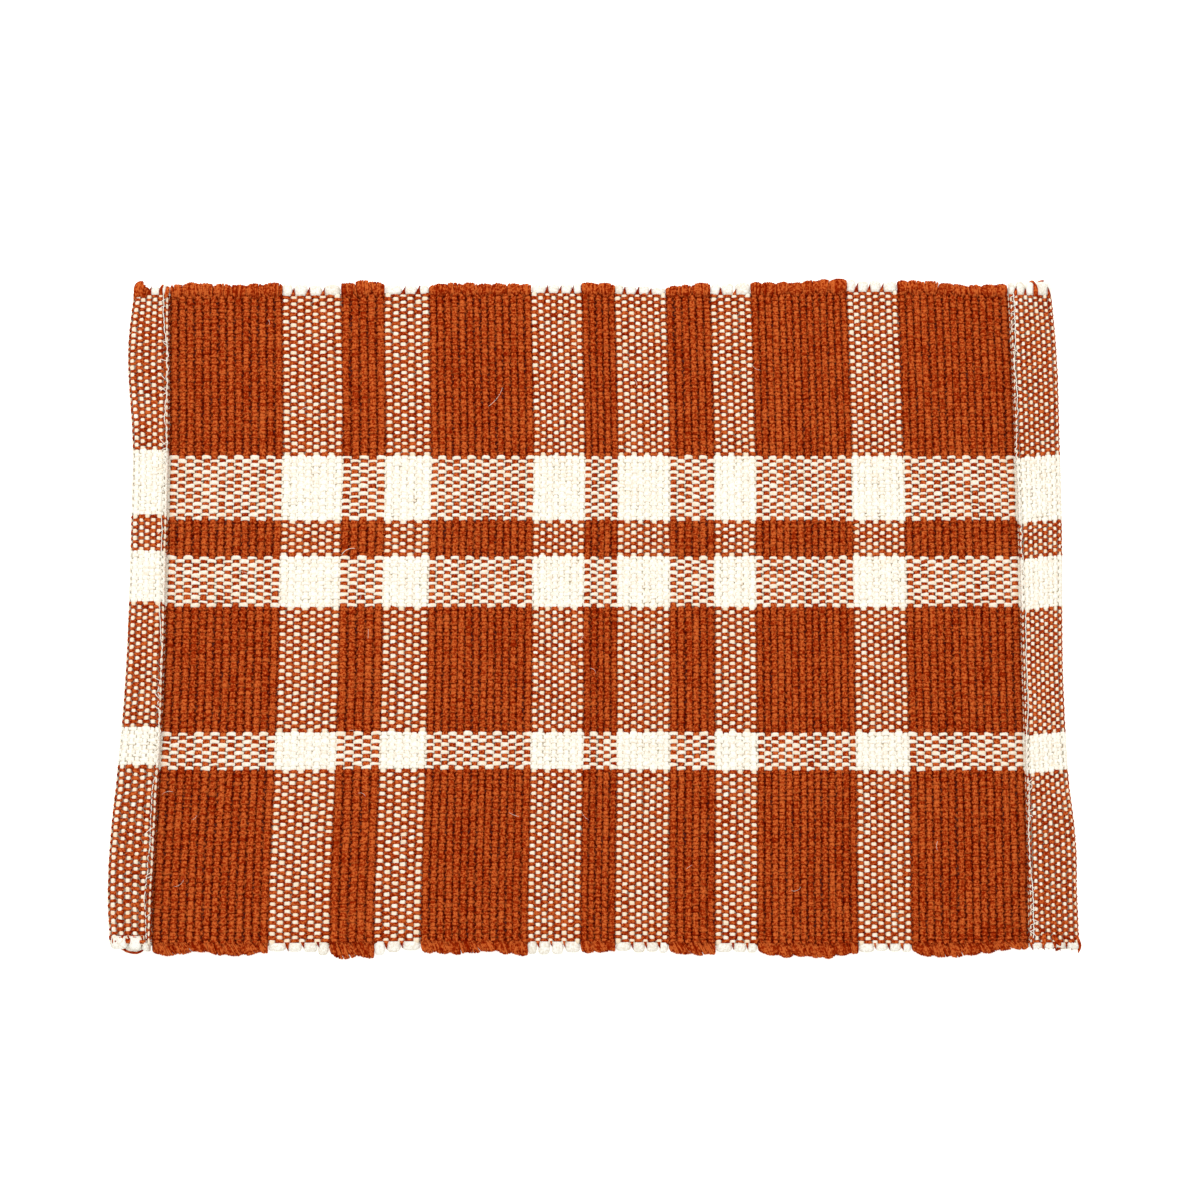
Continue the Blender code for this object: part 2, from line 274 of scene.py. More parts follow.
@dataclass
class Ribbon:
    """The middle surface of the folded cloth.

    A hem's section starts at the tucked end, runs to the inner fold, round it, back over the
    top to the outer edge, round that, and in under the hem to the body. The cloth's front
    looks up in the body and down in the top layer.
    """

    body_half: float = 1.3
    hem_half: float = 1.0
    layer_gap: float = 0.35
    tuck_end: float = 6.5
    # How far the far half's stripes lie to the right of straight lines, and the y of the most
    stripe_lean: float = 1.1
    leans_by: float = 90.0
    # Where round the inner fold its yarn lies, as a share of the half circle from below
    fold_share: float = 0.70
    rust: np.ndarray = field(init=False)
    stretch: np.ndarray = field(init=False)

    def __post_init__(self) -> None:
        """List which weft yarns are rust, and the stretch that the middle of each lies in."""
        body = [stripe.colour is Colour.RUST for stripe in STRIPES for _ in range(stripe.yarns)]
        left, right = HEM_YARNS
        self.rust = np.array([False] * left + body + [False] * right)
        self.stretch = self.trace(np.arange(self.columns) + 0.5)[1]

    @property
    def columns(self) -> int:
        """How many weft yarns there are."""
        return len(self.rust)

    @property
    def tuck_middle(self) -> float:
        """Height of the middle of the tuck."""
        return 2 * self.body_half + self.layer_gap + self.hem_half

    @property
    def top_middle(self) -> float:
        """Height of the middle of the top layer."""
        return self.tuck_middle + 2 * self.hem_half + self.layer_gap

    @property
    def fold_radius(self) -> float:
        """Radius of the inner fold at the middle of the cloth."""
        return (self.top_middle - self.tuck_middle) / 2

    @property
    def edge_radius(self) -> float:
        """Radius of the outer edge's bend at the middle of the cloth."""
        return (self.top_middle - self.body_half) / 2

    def hidden(self) -> np.ndarray:
        """Say which weft yarns lie inside a hem or under it."""
        return (self.stretch == Stretch.TUCK) | (self.stretch == Stretch.UNDER)

    def ends(self, width: np.ndarray) -> tuple[np.ndarray, np.ndarray]:
        """Return how far in from the outer edge a hem's flat stretches end at each bend."""
        inner = width - self.fold_radius - self.hem_half
        return inner, self.edge_radius + (self.hem_half + self.body_half) / 2 + 0 * width

    def starts(self, width: float) -> np.ndarray:
        """Return where each stretch of a hem starts, and where the last ends, along the middle."""
        inner, outer = self.ends(width)
        fold, edge = math.pi * self.fold_radius, math.pi * self.edge_radius
        return np.cumsum([0.0, inner - self.tuck_end, fold, inner - outer, edge, width - outer])

    def trace(self, q: np.ndarray) -> tuple[np.ndarray, np.ndarray, np.ndarray]:
        """Find the stretch that a place along the ribbon lies in.

        In a hem the yarns are spaced evenly from the tucked end to the one on the inner fold,
        and evenly from there to the body, measured on the line nearest the mat's middle. In
        the body they are spaced evenly within each stripe.

        Args:
            q: Place along the ribbon, counted in weft yarns from the left tuck.

        Returns:
            The side, -1, 0 or 1; the stretch; and the share of the stretch from its tucked end.
        """
        q = np.asarray(q, float)
        count, total = self.columns, sum(stripe.width for stripe in STRIPES)
        middle = OUTLINE[np.argmin(np.abs(OUTLINE[:, 0]))]
        side = np.where(q < HEM_YARNS[0], -1, np.where(q > count - HEM_YARNS[1], 1, 0))
        yarns = np.cumsum([0] + [stripe.yarns for stripe in STRIPES])
        shares = np.cumsum([0] + [stripe.width / total for stripe in STRIPES])
        stretch = np.full(q.shape, int(Stretch.BODY))
        share = np.interp(q - HEM_YARNS[0], yarns, shares)
        hems = ((-1, middle[2] - middle[1], q), (1, middle[4] - middle[3], count - q))
        for hem, (sign, width, from_end) in enumerate(hems):
            starts = self.starts(width)
            fold = starts[1] + self.fold_share * (starts[2] - starts[1])
            anchors = [0.0, BEFORE_FOLD[hem] + 0.5, float(HEM_YARNS[hem])]
            run = np.interp(from_end, anchors, [0.0, fold, starts[-1]])
            found = np.clip(np.searchsorted(starts, run, side="right") - 1, 0, 4)
            part = (run - starts[found]) / (starts[found + 1] - starts[found])
            stretch = np.where(side == sign, found, stretch)
            share = np.where(side == sign, part, share)
        return side, stretch, share

    def at(self, q: np.ndarray, y: np.ndarray) -> Placed:
        """Find points on the middle surface.

        A flat stretch is a straight run between two distances in from the outer edge. A bend
        is a half circle round its centre, and the cloth's front faces that centre. The stripes
        of the far half lean to the right by a smooth step of y, times a fourth-power hump
        over the body's length.

        Args:
            q: Place along the ribbon, counted in weft yarns from the left tuck.
            y: Place across the mat.

        Returns:
            The points, in the joint shape of q and y.
        """
        q, y = np.broadcast_arrays(q, y)
        side, stretch, share = self.trace(q)
        left_edge, left_fold, right_fold, right_edge = (smooth_read(OUTLINE, k, y) for k in (1, 2, 3, 4))
        edge = np.where(side < 0, left_edge, right_edge)
        width = np.where(side < 0, left_fold - left_edge, right_edge - right_fold)
        inner, outer = self.ends(width)
        nil = 0 * width
        is_fold, is_edge = stretch == Stretch.FOLD, stretch == Stretch.EDGE
        bent = is_fold | is_edge
        turn = np.where(is_fold, -math.pi / 2, math.pi / 2) + math.pi * share
        radius = np.where(is_fold, self.fold_radius, self.edge_radius)
        middles = (self.tuck_middle + self.fold_radius, self.body_half + self.edge_radius)
        centre_z = np.where(is_fold, *middles)
        first = np.choose(stretch, [nil + self.tuck_end, inner, inner, outer, outer, nil])
        last = np.choose(stretch, [inner, inner, outer, outer, width, nil])
        inward = first + (last - first) * share + np.where(bent, radius * np.cos(turn), 0)
        levels = [self.tuck_middle, 0.0, self.top_middle, 0.0, self.body_half, self.body_half]
        lean = self.stripe_lean * ease(y / self.leans_by) * (1 - (2 * share - 1) ** 4)
        in_body = left_fold + (right_fold - left_fold) * share + lean
        thin = self.hem_half / self.body_half
        easing = np.where(is_edge, thin + (1 - thin) * share, 1.0)
        return Placed(
            x=np.where(stretch == Stretch.BODY, in_body, edge - side * inward),
            z=np.where(bent, centre_z + radius * np.sin(turn), np.choose(stretch, levels)),
            normal_x=np.where(bent, side * np.cos(turn), 0.0),
            normal_z=np.where(bent, -np.sin(turn), np.where(stretch == Stretch.TOP, -1.0, 1.0)),
            squash=np.where(stretch <= Stretch.TOP, thin, easing),
        )

    def pitches(self) -> np.ndarray:
        """Return the spacing of the weft yarns on the line across the mat's middle."""
        steps = 24
        q = np.linspace(0, self.columns, self.columns * steps + 1)
        spot = self.at(np.clip(q, 0, self.columns - 1e-6), 0 * q)
        run = run_along(np.hypot(np.diff(spot.x), np.diff(spot.z))[None])[0]
        return np.diff(run[::steps])


@dataclass
class Rows:
    """The warp yarns, from the far side to the near side."""

    pitch: float = 1.8
    far: float = 160.4
    # How far out the warps begin to stray from straight lines, and over what distance they do
    far_stray: tuple[float, float] = (90.0, 70.0)
    near_stray: tuple[float, float] = (20.0, 100.0)
    # How far the hems' bands stand away from the body's, by the place along the ribbon
    left_shift: float = 2.0
    right_fold_shift: float = -2.1
    right_edge_shift: float = 0.5
    # How far the bands turn towards the near side as they go round an inner fold
    fold_turn: float = 2.2
    # How far out those shifts have faded, and over what distance they fade
    fade: tuple[float, float] = (162.0, 40.0)
    rust: np.ndarray = field(init=False)

    def __post_init__(self) -> None:
        """List which warp yarns are rust."""
        self.rust = np.array([band.colour is Colour.RUST for band in BANDS for _ in range(band.yarns)])

    @property
    def count(self) -> int:
        """How many warp yarns there are."""
        return len(self.rust)

    def middles(self) -> np.ndarray:
        """Return the y of each warp yarn in the body, before the drift towards the selvedges."""
        return self.far - self.pitch * (np.arange(self.count) + 0.5)

    def drift(self, x: np.ndarray, y: np.ndarray) -> np.ndarray:
        """Work out how far the warps stray from straight lines.

        On each side the stray is a smooth step of the distance from the mat's middle line,
        times the drift of the outermost warp there.

        Args:
            x: Place along the mat.
            y: Place across it.

        Returns:
            The change of y, in the joint shape of x and y.
        """
        (far_from, far_over), (near_from, near_over) = self.far_stray, self.near_stray
        out = smooth_read(FAR_DRIFT, 1, x) * ease((y - far_from) / far_over)
        return out - smooth_read(NEAR_DRIFT, 1, x) * ease((-y - near_from) / near_over)

    def shifted(self, ribbon: Ribbon, q: np.ndarray, y: np.ndarray) -> np.ndarray:
        """Return the y that a warp has at a place along the ribbon.

        The shift is nothing in the body, changes evenly under the hem to its value at the
        outer edge, and from there evenly to its value at the inner fold. It fades out before
        each selvedge, and the warps' drift is added to it.

        Args:
            ribbon: The cloth's middle surface.
            q: Place along the ribbon, in weft yarns.
            y: The warp's y in the body.

        Returns:
            The y there, in the joint shape of q and y.
        """
        count, (left, right) = ribbon.columns, HEM_YARNS
        folds = (BEFORE_FOLD[0], count - BEFORE_FOLD[1])
        places = [0, folds[0] - 0.2, folds[0] + 1.0, left - 6, left]
        places += [count - right, count - right + 8, folds[1] - 1.0, folds[1] + 0.2, count]
        edge, fold, turn = self.right_edge_shift, self.right_fold_shift, self.fold_turn
        shifts = [self.left_shift - turn] * 2 + [self.left_shift] * 2 + [0.0]
        shifts += [0.0, edge, fold, fold - turn, fold - turn]
        stray = self.drift(ribbon.at(q, 0 * q).x, y)
        faded, over = self.fade
        return y + stray + np.interp(q, places, shifts) * ease((faded - np.abs(y)) / over)


@dataclass
class Tubes:
    """Closed tubes of one make-up, as whole arrays of tubes, stations and sides.

    Run is the length from a tube's start. Tone lightens a yarn, depth says how far down its
    side a point lies and so how much painted shade it takes, cell counts the crossings on its
    way and so places the painted shade of the valleys, and shelter says how much of its
    painted shade it keeps. Tone, cell and shelter are the same all round a tube.
    """

    points: np.ndarray
    run: np.ndarray
    tone: np.ndarray
    depth: np.ndarray | float = 0.0
    cell: np.ndarray | float = 0.5
    shelter: np.ndarray | float = 1.0

    def fields(self) -> dict[str, np.ndarray]:
        """Return the value of each field at every point.

        Returns:
            The values in the order of the points, by the field's name.
        """
        level = {"tone": self.tone, "cell": self.cell, "shelter": self.shelter}
        found = {name: np.asarray(values)[..., None] for name, values in level.items()}
        found["depth"] = np.asarray(self.depth)
        shape = self.points.shape[:3]
        return {name: np.broadcast_to(values, shape).ravel() for name, values in found.items()}


def map_spots(u: np.ndarray, v: np.ndarray, corners: int) -> np.ndarray:
    """Join the coordinates of a map into faces by corners by coordinates."""
    return np.stack(np.broadcast_arrays(u, v), axis=-1).reshape(-1, corners, 2)


def make_piece(name: str, batches: list[Tubes], finish: bpy.types.Material) -> bpy.types.Object:
    """Make one mesh of closed tubes.

    Each tube's stations are joined ring to ring by quads, and one polygon closes each end.
    On the map for baking each tube has a strip of its own. On the map that patterns read, u is
    the way round and v the way along, both in metres, and each tube starts further along u.

    Args:
        name: The piece's name.
        batches: Its tubes.
        finish: Its material.

    Returns:
        The new object, at the origin.
    """
    strips = sum(len(batch.points) for batch in batches)
    lane_width, tube_offset, cap_scale = 1 / strips, 3.1, 0.01
    corners, starts, bake, run_map = [], [], [], []
    point_count = corner_count = strip = 0
    for batch in batches:
        n, m, s = batch.points.shape[:3]
        index = np.arange(n * m * s).reshape(n, m, s)
        after = np.roll(index, -1, axis=2)
        quads = np.stack([index[:, :-1], after[:, :-1], after[:, 1:], index[:, 1:]], axis=-1).reshape(-1, 4)
        caps = np.stack([index[:, 0, ::-1], index[:, -1, :]], axis=1).reshape(-1, s)
        number = (strip + np.arange(n))[:, None, None, None]
        lane = number / strips
        shape, way_round = (n, m - 1, s), np.arange(s + 1) / s
        low, high = np.broadcast_to(way_round[:-1], shape), np.broadcast_to(way_round[1:], shape)
        v = (batch.run / np.maximum(batch.run[:, -1:], 1e-6))[:, :, None]
        v0, v1 = np.broadcast_to(v[:, :-1], shape), np.broadcast_to(v[:, 1:], shape)
        u_quads = np.stack([low, high, high, low], axis=-1)
        v_quads = np.stack([v0, v0, v1, v1], axis=-1)
        bake_quads = map_spots(lane + lane_width * (0.08 + 0.84 * u_quads), 0.008 + 0.984 * v_quads, 4)
        gap = np.linalg.norm(np.roll(batch.points, -1, axis=2) - batch.points, axis=3)
        girth = gap.sum(axis=2).mean()
        length = batch.run[:, -1][:, None, None, None]
        run_quads = map_spots((u_quads * girth + tube_offset * number) * MM, v_quads * length * MM, 4)
        cap_turn = 2 * math.pi * np.arange(s) / s
        cap_u = lane[..., 0] + lane_width * (0.5 + 0.4 * np.cos(cap_turn))
        cap_v = np.array([0.0035, 0.9965])[None, :, None] + 0.003 * np.sin(cap_turn)
        bake_caps = map_spots(cap_u, cap_v, s)
        mesh_points = batch.points.reshape(-1, 3)
        a, b, c, d = (mesh_points[quads[:, k]] for k in range(4))
        volume = (np.cross(a, b) * c).sum() + (np.cross(a, c) * d).sum()
        way = -1 if volume < 0 else 1
        groups = ((quads, bake_quads, run_quads), (caps, bake_caps, bake_caps * cap_scale))
        for faces, bake_spots, run_spots in groups:
            corners.append((faces[:, ::way] + point_count).ravel())
            starts.append(corner_count + np.arange(len(faces)) * faces.shape[1])
            bake.append(bake_spots[:, ::way].reshape(-1, 2))
            run_map.append(run_spots[:, ::way].reshape(-1, 2))
            corner_count += faces.size
        point_count += n * m * s
        strip += n
    places = np.concatenate([batch.points.reshape(-1, 3) for batch in batches])
    mesh = bpy.data.meshes.new(name)
    mesh.vertices.add(point_count)
    mesh.vertices.foreach_set("co", (places * MM).astype(np.float32).ravel())
    mesh.loops.add(corner_count)
    mesh.loops.foreach_set("vertex_index", np.concatenate(corners).astype(np.int32))
    starts_all = np.concatenate(starts).astype(np.int32)
    mesh.polygons.add(len(starts_all))
    mesh.polygons.foreach_set("loop_start", starts_all)
    mesh.polygons.foreach_set("use_smooth", np.ones(len(starts_all), bool))
    mesh.update(calc_edges=True)
    for map_name, values in (("OFBake", bake), ("yarn_run", run_map)):
        layer = mesh.uv_layers.new(name=map_name)
        layer.uv.foreach_set("vector", np.concatenate(values).astype(np.float32).ravel())
    fields = [batch.fields() for batch in batches]
    for field_name in fields[0]:
        values = np.concatenate([found[field_name] for found in fields])
        attribute = mesh.attributes.new(field_name, "FLOAT", "POINT")
        attribute.data.foreach_set("value", values.astype(np.float32))
    mesh.validate()
    return add_piece(mesh, finish)


def add_object(name: str, data: bpy.types.ID) -> bpy.types.Object:
    """Add a new object to the scene.

    Args:
        name: The object's name.
        data: Its mesh, camera or light.

    Returns:
        The object.
    """
    made = bpy.data.objects.new(name, data)
    bpy.context.scene.collection.objects.link(made)
    return made


def add_piece(mesh: bpy.types.Mesh, finish: bpy.types.Material) -> bpy.types.Object:
    """Add a piece that rides on the mat, stands for the mat's solid and takes its finish slot.

    Args:
        mesh: The piece's mesh, which has its name.
        finish: Its material.

    Returns:
        The new object.
    """
    mesh.materials.append(finish)
    piece = add_object(mesh.name, mesh)
    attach(piece, "root")
    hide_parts(NODE)
    log.info("%s: %d triangles", piece.name, len(mesh.loops) - 2 * len(mesh.polygons))
    return piece


def to_linear(hex_colour: str) -> tuple[float, float, float, float]:
    """Turn an sRGB hex colour into linear light with an alpha of 1."""
    values = [int(hex_colour[k : k + 2], 16) / 255 for k in (1, 3, 5)]
    linear = [v / 12.92 if v <= 0.04045 else ((v + 0.055) / 1.055) ** 2.4 for v in values]
    return (linear[0], linear[1], linear[2], 1.0)


def new_material(name: str) -> bpy.types.Material:
    """Make a material with an empty node tree."""
    made = bpy.data.materials.new(name)
    made.use_nodes = True
    made.node_tree.nodes.clear()
    return made


def add_node(
    tree: bpy.types.NodeTree, kind: str, settings: dict[str, Any], inputs: dict[Any, Any]
) -> bpy.types.Node:
    """Add a node to a tree.

    Args:
        tree: The tree.
        kind: The node's type, without the ShaderNode that all of them begin with.
        settings: Values for the node's own properties.
        inputs: Values or output sockets for its inputs, by name or number.

    Returns:
        The node.
    """
    node = tree.nodes.new("ShaderNode" + kind)
    for key, value in settings.items():
        setattr(node, key, value)
    for key, value in inputs.items():
        if isinstance(value, bpy.types.NodeSocket):
            tree.links.new(value, node.inputs[key])
        else:
            node.inputs[key].default_value = value
    return node


def add_maths(
    tree: bpy.types.NodeTree, operation: str, *values: Any, clamp: bool = False
) -> bpy.types.NodeSocket:
    """Add a node of arithmetic.

    Args:
        tree: The tree.
        operation: What the node does.
        values: Numbers or output sockets, in the order that the node takes them.
        clamp: True to keep the result from 0 to 1.

    Returns:
        The result's socket.
    """
    settings = {"operation": operation, "use_clamp": clamp}
    return add_node(tree, "Math", settings, dict(enumerate(values))).outputs["Value"]


def add_field(tree: bpy.types.NodeTree, name: str) -> bpy.types.NodeSocket:
    """Add a node that reads a field of the mesh, and return its socket."""
    return add_node(tree, "Attribute", {"attribute_name": name}, {}).outputs["Fac"]


@dataclass(frozen=True)
class CottonYarn:
    """Soft spun cotton yarn, dyed in the yarn.

    To the eye it is matt and a little fuzzy, with fine slanting fibres and shades that differ
    from yarn to yarn. Painted shade darkens its sides and valleys, so the crests look lighter.
    """

    name: str
    deep: str
    shade: str
    body: str
    lit: str
    # How much painted shade darkens the yarn down its sides, between two crossings, and where both meet
    side_shade: float = 0.0
    valley_shade: float = 0.0
    corner_shade: float = 0.0
    # A fibre's width, length and slant
    fibre_across: float = 0.32
    fibre_along: float = 1.9
    lay: float = 0.5
    bump: float = 0.35
    bump_height: float = 0.4
    clump_scale: float = 900.0
    # Where in the mottling the body's colour lies, and how far below it the shade's
    middle: float = 0.95
    low: float = 0.28

    def material(self) -> bpy.types.Material:
        """Build the yarn's material.

        A fine noise stretched along the fibres and a coarse one give the colour and the relief.
        The sides and the valleys turn towards the deep colour by powers of their depth, as painted
        shade, which the shelter field and the coarse noise scale.

        Returns:
            The material.
        """
        made = new_material(self.name)
        tree = made.node_tree
        run = add_node(tree, "UVMap", {"uv_map": "yarn_run"}, {}).outputs["UV"]
        scale = (1 / (self.fibre_across * MM), 1 / (self.fibre_along * MM), 1)
        mapping = {"Vector": run, "Rotation": (0, 0, self.lay), "Scale": scale}
        turned = add_node(tree, "Mapping", {}, mapping).outputs["Vector"]
        fine = {"Vector": turned, "Scale": 1.0, "Detail": 3.0, "Roughness": 0.6}
        fibre = add_node(tree, "TexNoise", {"noise_dimensions": "2D"}, fine).outputs["Fac"]
        spot = add_node(tree, "TexCoord", {}, {}).outputs["Object"]
        coarse = {"Vector": spot, "Scale": self.clump_scale, "Detail": 2.0, "Roughness": 0.55}
        clump = add_node(tree, "TexNoise", {"noise_dimensions": "3D"}, coarse).outputs["Fac"]
        fibre_tone = add_maths(tree, "MULTIPLY_ADD", fibre, 0.8, add_field(tree, "tone"))
        mottled = add_maths(tree, "MULTIPLY_ADD", clump, 1.1, fibre_tone)
        ramp = add_node(tree, "ValToRGB", {}, {0: mottled})
        stops = ramp.color_ramp.elements
        stops[0].position, stops[0].color = self.middle - self.low, to_linear(self.shade)
        stops[1].position, stops[1].color = 1.0, to_linear(self.lit)
        stops.new(self.middle).color = to_linear(self.body)
        # Painted shade: the valleys between crossings, the sides of the section and the corners where both
        # meet turn towards the deep colour
        crossing = add_maths(tree, "FRACT", add_field(tree, "cell"))
        apart = add_maths(tree, "ABSOLUTE", add_maths(tree, "MULTIPLY_ADD", crossing, 2.0, -1.0))
        valley = add_maths(tree, "POWER", apart, 2.2)
        side = add_maths(tree, "POWER", add_field(tree, "depth"), 1.6)
        corner = add_maths(tree, "MULTIPLY", valley, side)
        painted_shade = add_maths(tree, "MULTIPLY", side, self.side_shade)
        painted_shade = add_maths(tree, "MULTIPLY_ADD", valley, self.valley_shade, painted_shade)
        painted_shade = add_maths(tree, "MULTIPLY_ADD", corner, self.corner_shade, painted_shade)
        painted_shade = add_maths(tree, "MULTIPLY", painted_shade, add_field(tree, "shelter"))
        ranges = {"Value": clump, "From Min": 0.3, "From Max": 0.7, "To Min": 1.6, "To Max": 0.3}
        patchy = add_node(tree, "MapRange", {"clamp": False}, ranges).outputs["Result"]
        painted_shade = add_maths(tree, "MULTIPLY", painted_shade, patchy, clamp=True)
        colours = {0: painted_shade, 6: ramp.outputs["Color"], 7: to_linear(self.deep)}
        shaded = add_node(tree, "Mix", {"data_type": "RGBA"}, colours)
        rough = add_node(tree, "MapRange", {}, {"Value": fibre, "To Min": 0.82, "To Max": 0.98})
        height = add_maths(tree, "MULTIPLY_ADD", clump, 0.6, fibre)
        raised = {"Height": height, "Strength": self.bump, "Distance": self.bump_height * MM}
        look = {
            "Base Color": shaded.outputs[2],
            "Roughness": rough.outputs["Result"],
            "Normal": add_node(tree, "Bump", {}, raised).outputs["Normal"],
            "Sheen Weight": 0.05,
            "Sheen Roughness": 0.5,
            "Sheen Tint": to_linear(self.body),
            "Specular IOR Level": 0.0,
        }
        cloth = add_node(tree, "BsdfPrincipled", {}, look).outputs["BSDF"]
        add_node(tree, "OutputMaterial", {}, {"Surface": cloth})
        return made


# Each set is the deep colour that painted shade turns towards, then the dark, middle and light colours of
# the random mottling
RUST = ("#560800", "#811700", "#A4350C", "#CC622A")
CREAM = ("#A0967F", "#F3DDBE", "#F9F3E6", "#FFFCF0")
SOFT_CREAM = ("#988A72", "#DDD0BB", "#F0EADC", "#FBF8EE")

# The rust yarns give the mat its warm ground, with painted shade darkest in the valleys between the wefts
RUST_WARP = CottonYarn("rust_warp_cotton", *RUST, side_shade=0.14, valley_shade=0.85, corner_shade=0.35)
RUST_WEFT = CottonYarn("rust_weft_cotton", *RUST, side_shade=0.9, valley_shade=0.12)
RUST_TURN = CottonYarn("rust_turn_cotton", *RUST, side_shade=0.82)

# The cream yarns give bright soft cells, with small grey dots of painted shade where four yarns meet
CREAM_WARP = CottonYarn(
    "cream_warp_cotton", *CREAM, valley_shade=0.14, corner_shade=1.2, bump=0.15, low=0.42
)
CREAM_WEFT = CottonYarn("cream_weft_cotton", *CREAM, side_shade=0.3, bump=0.15, low=0.42)
CREAM_TURN = CottonYarn(
    "cream_turn_cotton", *SOFT_CREAM, side_shade=0.3, fibre_across=0.22, bump=0.4, low=0.42
)
SEWING_THREAD = CottonYarn("cream_sewing_thread", *CREAM, fibre_across=0.15, low=0.42)


@dataclass
class WarpYarns:
    """The thinner yarns that run from hem to hem."""

    ribbon: Ribbon
    rows: Rows
    rng: np.random.Generator
    rise: float = 0.7
    half_thick: float = 0.46
    # Half the width of a yarn over rust wefts and over cream wefts
    rust_half: tuple[float, float] = (1.34, 1.24)
    cream_half: tuple[float, float] = (0.94, 1.2)
    # Half the width of a cream yarn's flat top, as a share of the yarn's
    flat: float = 0.66
    # How far a warp bows towards the far side where it lies over a weft
    bow: float = 0.16
    # How far a warp ends from the ribbon's ends, in weft yarns
    end_gap: float = 0.02
    # How far a warp wanders slowly and quickly, and how uneven its size is
    wander: tuple[float, float] = (0.12, 0.13)
    rise_noise: float = 0.05
    width_noise: float = 0.22
    # How much the tone differs from yarn to yarn and along each
    tone_noise: tuple[float, float] = (0.02, 0.04)
    # How far a cream warp's tone sinks between rust wefts, whose colour it takes on
    tint: float = 0.2
    # How much of its painted shade a warp keeps between cream wefts, which throw light on it
    open_shelter: float = 0.35

    def tubes(self, rows: np.ndarray) -> Tubes:
        """Work out some warp yarns.

        At each crossing the yarn lies level over or under the weft for half the weft's
        spacing, and slopes evenly to the next crossing. A rust yarn's section is a diamond and
        a cream yarn's a flattened hexagon, both smoothly shaded.

        Args:
            rows: The numbers of the warp yarns, all of one colour.

        Returns:
            The tubes.
        """
        hidden = self.ribbon.hidden()
        columns = np.arange(self.ribbon.columns)
        shown = np.repeat(columns[~hidden], 2) + np.tile([0.25, 0.75], (~hidden).sum())
        ends = [self.end_gap, self.ribbon.columns - self.end_gap]
        q = np.sort(np.concatenate([shown, columns[hidden] + 0.5, ends]))
        n, m = len(rows), len(q)
        column = np.floor(q).astype(int)
        over = np.where((column[None, :] + rows[:, None]) % 2 == 0, 1.0, -1.0)
        over[:, 0] = over[:, -1] = 0
        middle = self.rows.middles()[rows][:, None]
        for strength, spread in zip(self.wander, (9, 2)):
            middle = middle + strength * soft_noise(self.rng, n, m, spread)
        y = self.rows.shifted(self.ribbon, q[None, :], middle) + self.bow * over
        spot = self.ribbon.at(q[None, :], y)
        lift = over * self.rise * spot.squash
        lift = lift * (1 + self.rise_noise * self.rng.standard_normal((n, m)))
        x, z = spot.x + spot.normal_x * lift, spot.z + spot.normal_z * lift
        cream, rust = not self.rows.rust[rows[0]], self.ribbon.rust[column]
        half = np.where(rust, *(self.cream_half if cream else self.rust_half))
        half = half * np.clip(1 + self.width_noise * soft_noise(self.rng, n, m, 2), 0.5, 1.5)
        thick = self.half_thick * spot.squash
        thick = thick * (1 + self.rise_noise * self.rng.standard_normal((n, m)))
        flat = self.flat
        wide = np.array([-1, -flat, flat, 1, flat, -flat] if cream else [-1, 0, 1, 0.0])
        high = np.array([0, 1, 1, 0, -1, -1] if cream else [0, 1, 0, -1.0])
        across, up = half[:, :, None] * wide, thick[:, :, None] * high
        points = np.stack(
            [
                x[:, :, None] + spot.normal_x[:, :, None] * up,
                y[:, :, None] + across,
                z[:, :, None] + spot.normal_z[:, :, None] * up,
            ],
            axis=3,
        )
        run = run_along(np.hypot(np.diff(x, axis=1), np.diff(z, axis=1)))
        tone = self.tone_noise[0] * self.rng.standard_normal((n, 1))
        tone = tone + self.tone_noise[1] * soft_noise(self.rng, n, m, 3)
        tone = tone - np.where(rust & cream, self.tint, 0.0)
        # Painted shade darkens the section's side points (depth) and the slopes between crossings (cell),
        # less so between cream wefts (shelter)
        shelter = np.where(rust, 1.0, self.open_shelter)[None, :]
        return Tubes(points, run, tone, 1 - np.abs(high), q[None, :], shelter)

    def build(self) -> list[bpy.types.Object]:
        """Make the warp pieces.

        Returns:
            The rust warps of the far half and of the near half, and the cream warps.
        """
        rust, cream = np.flatnonzero(self.rows.rust), np.flatnonzero(~self.rows.rust)
        half = len(rust) // 2
        rust_finish, cream_finish = RUST_WARP.material(), CREAM_WARP.material()
        return [
            make_piece("rust_warp_far", [self.tubes(rust[:half])], rust_finish),
            make_piece("rust_warp_near", [self.tubes(rust[half:])], rust_finish),
            make_piece("cream_warp", [self.tubes(cream)], cream_finish),
        ]


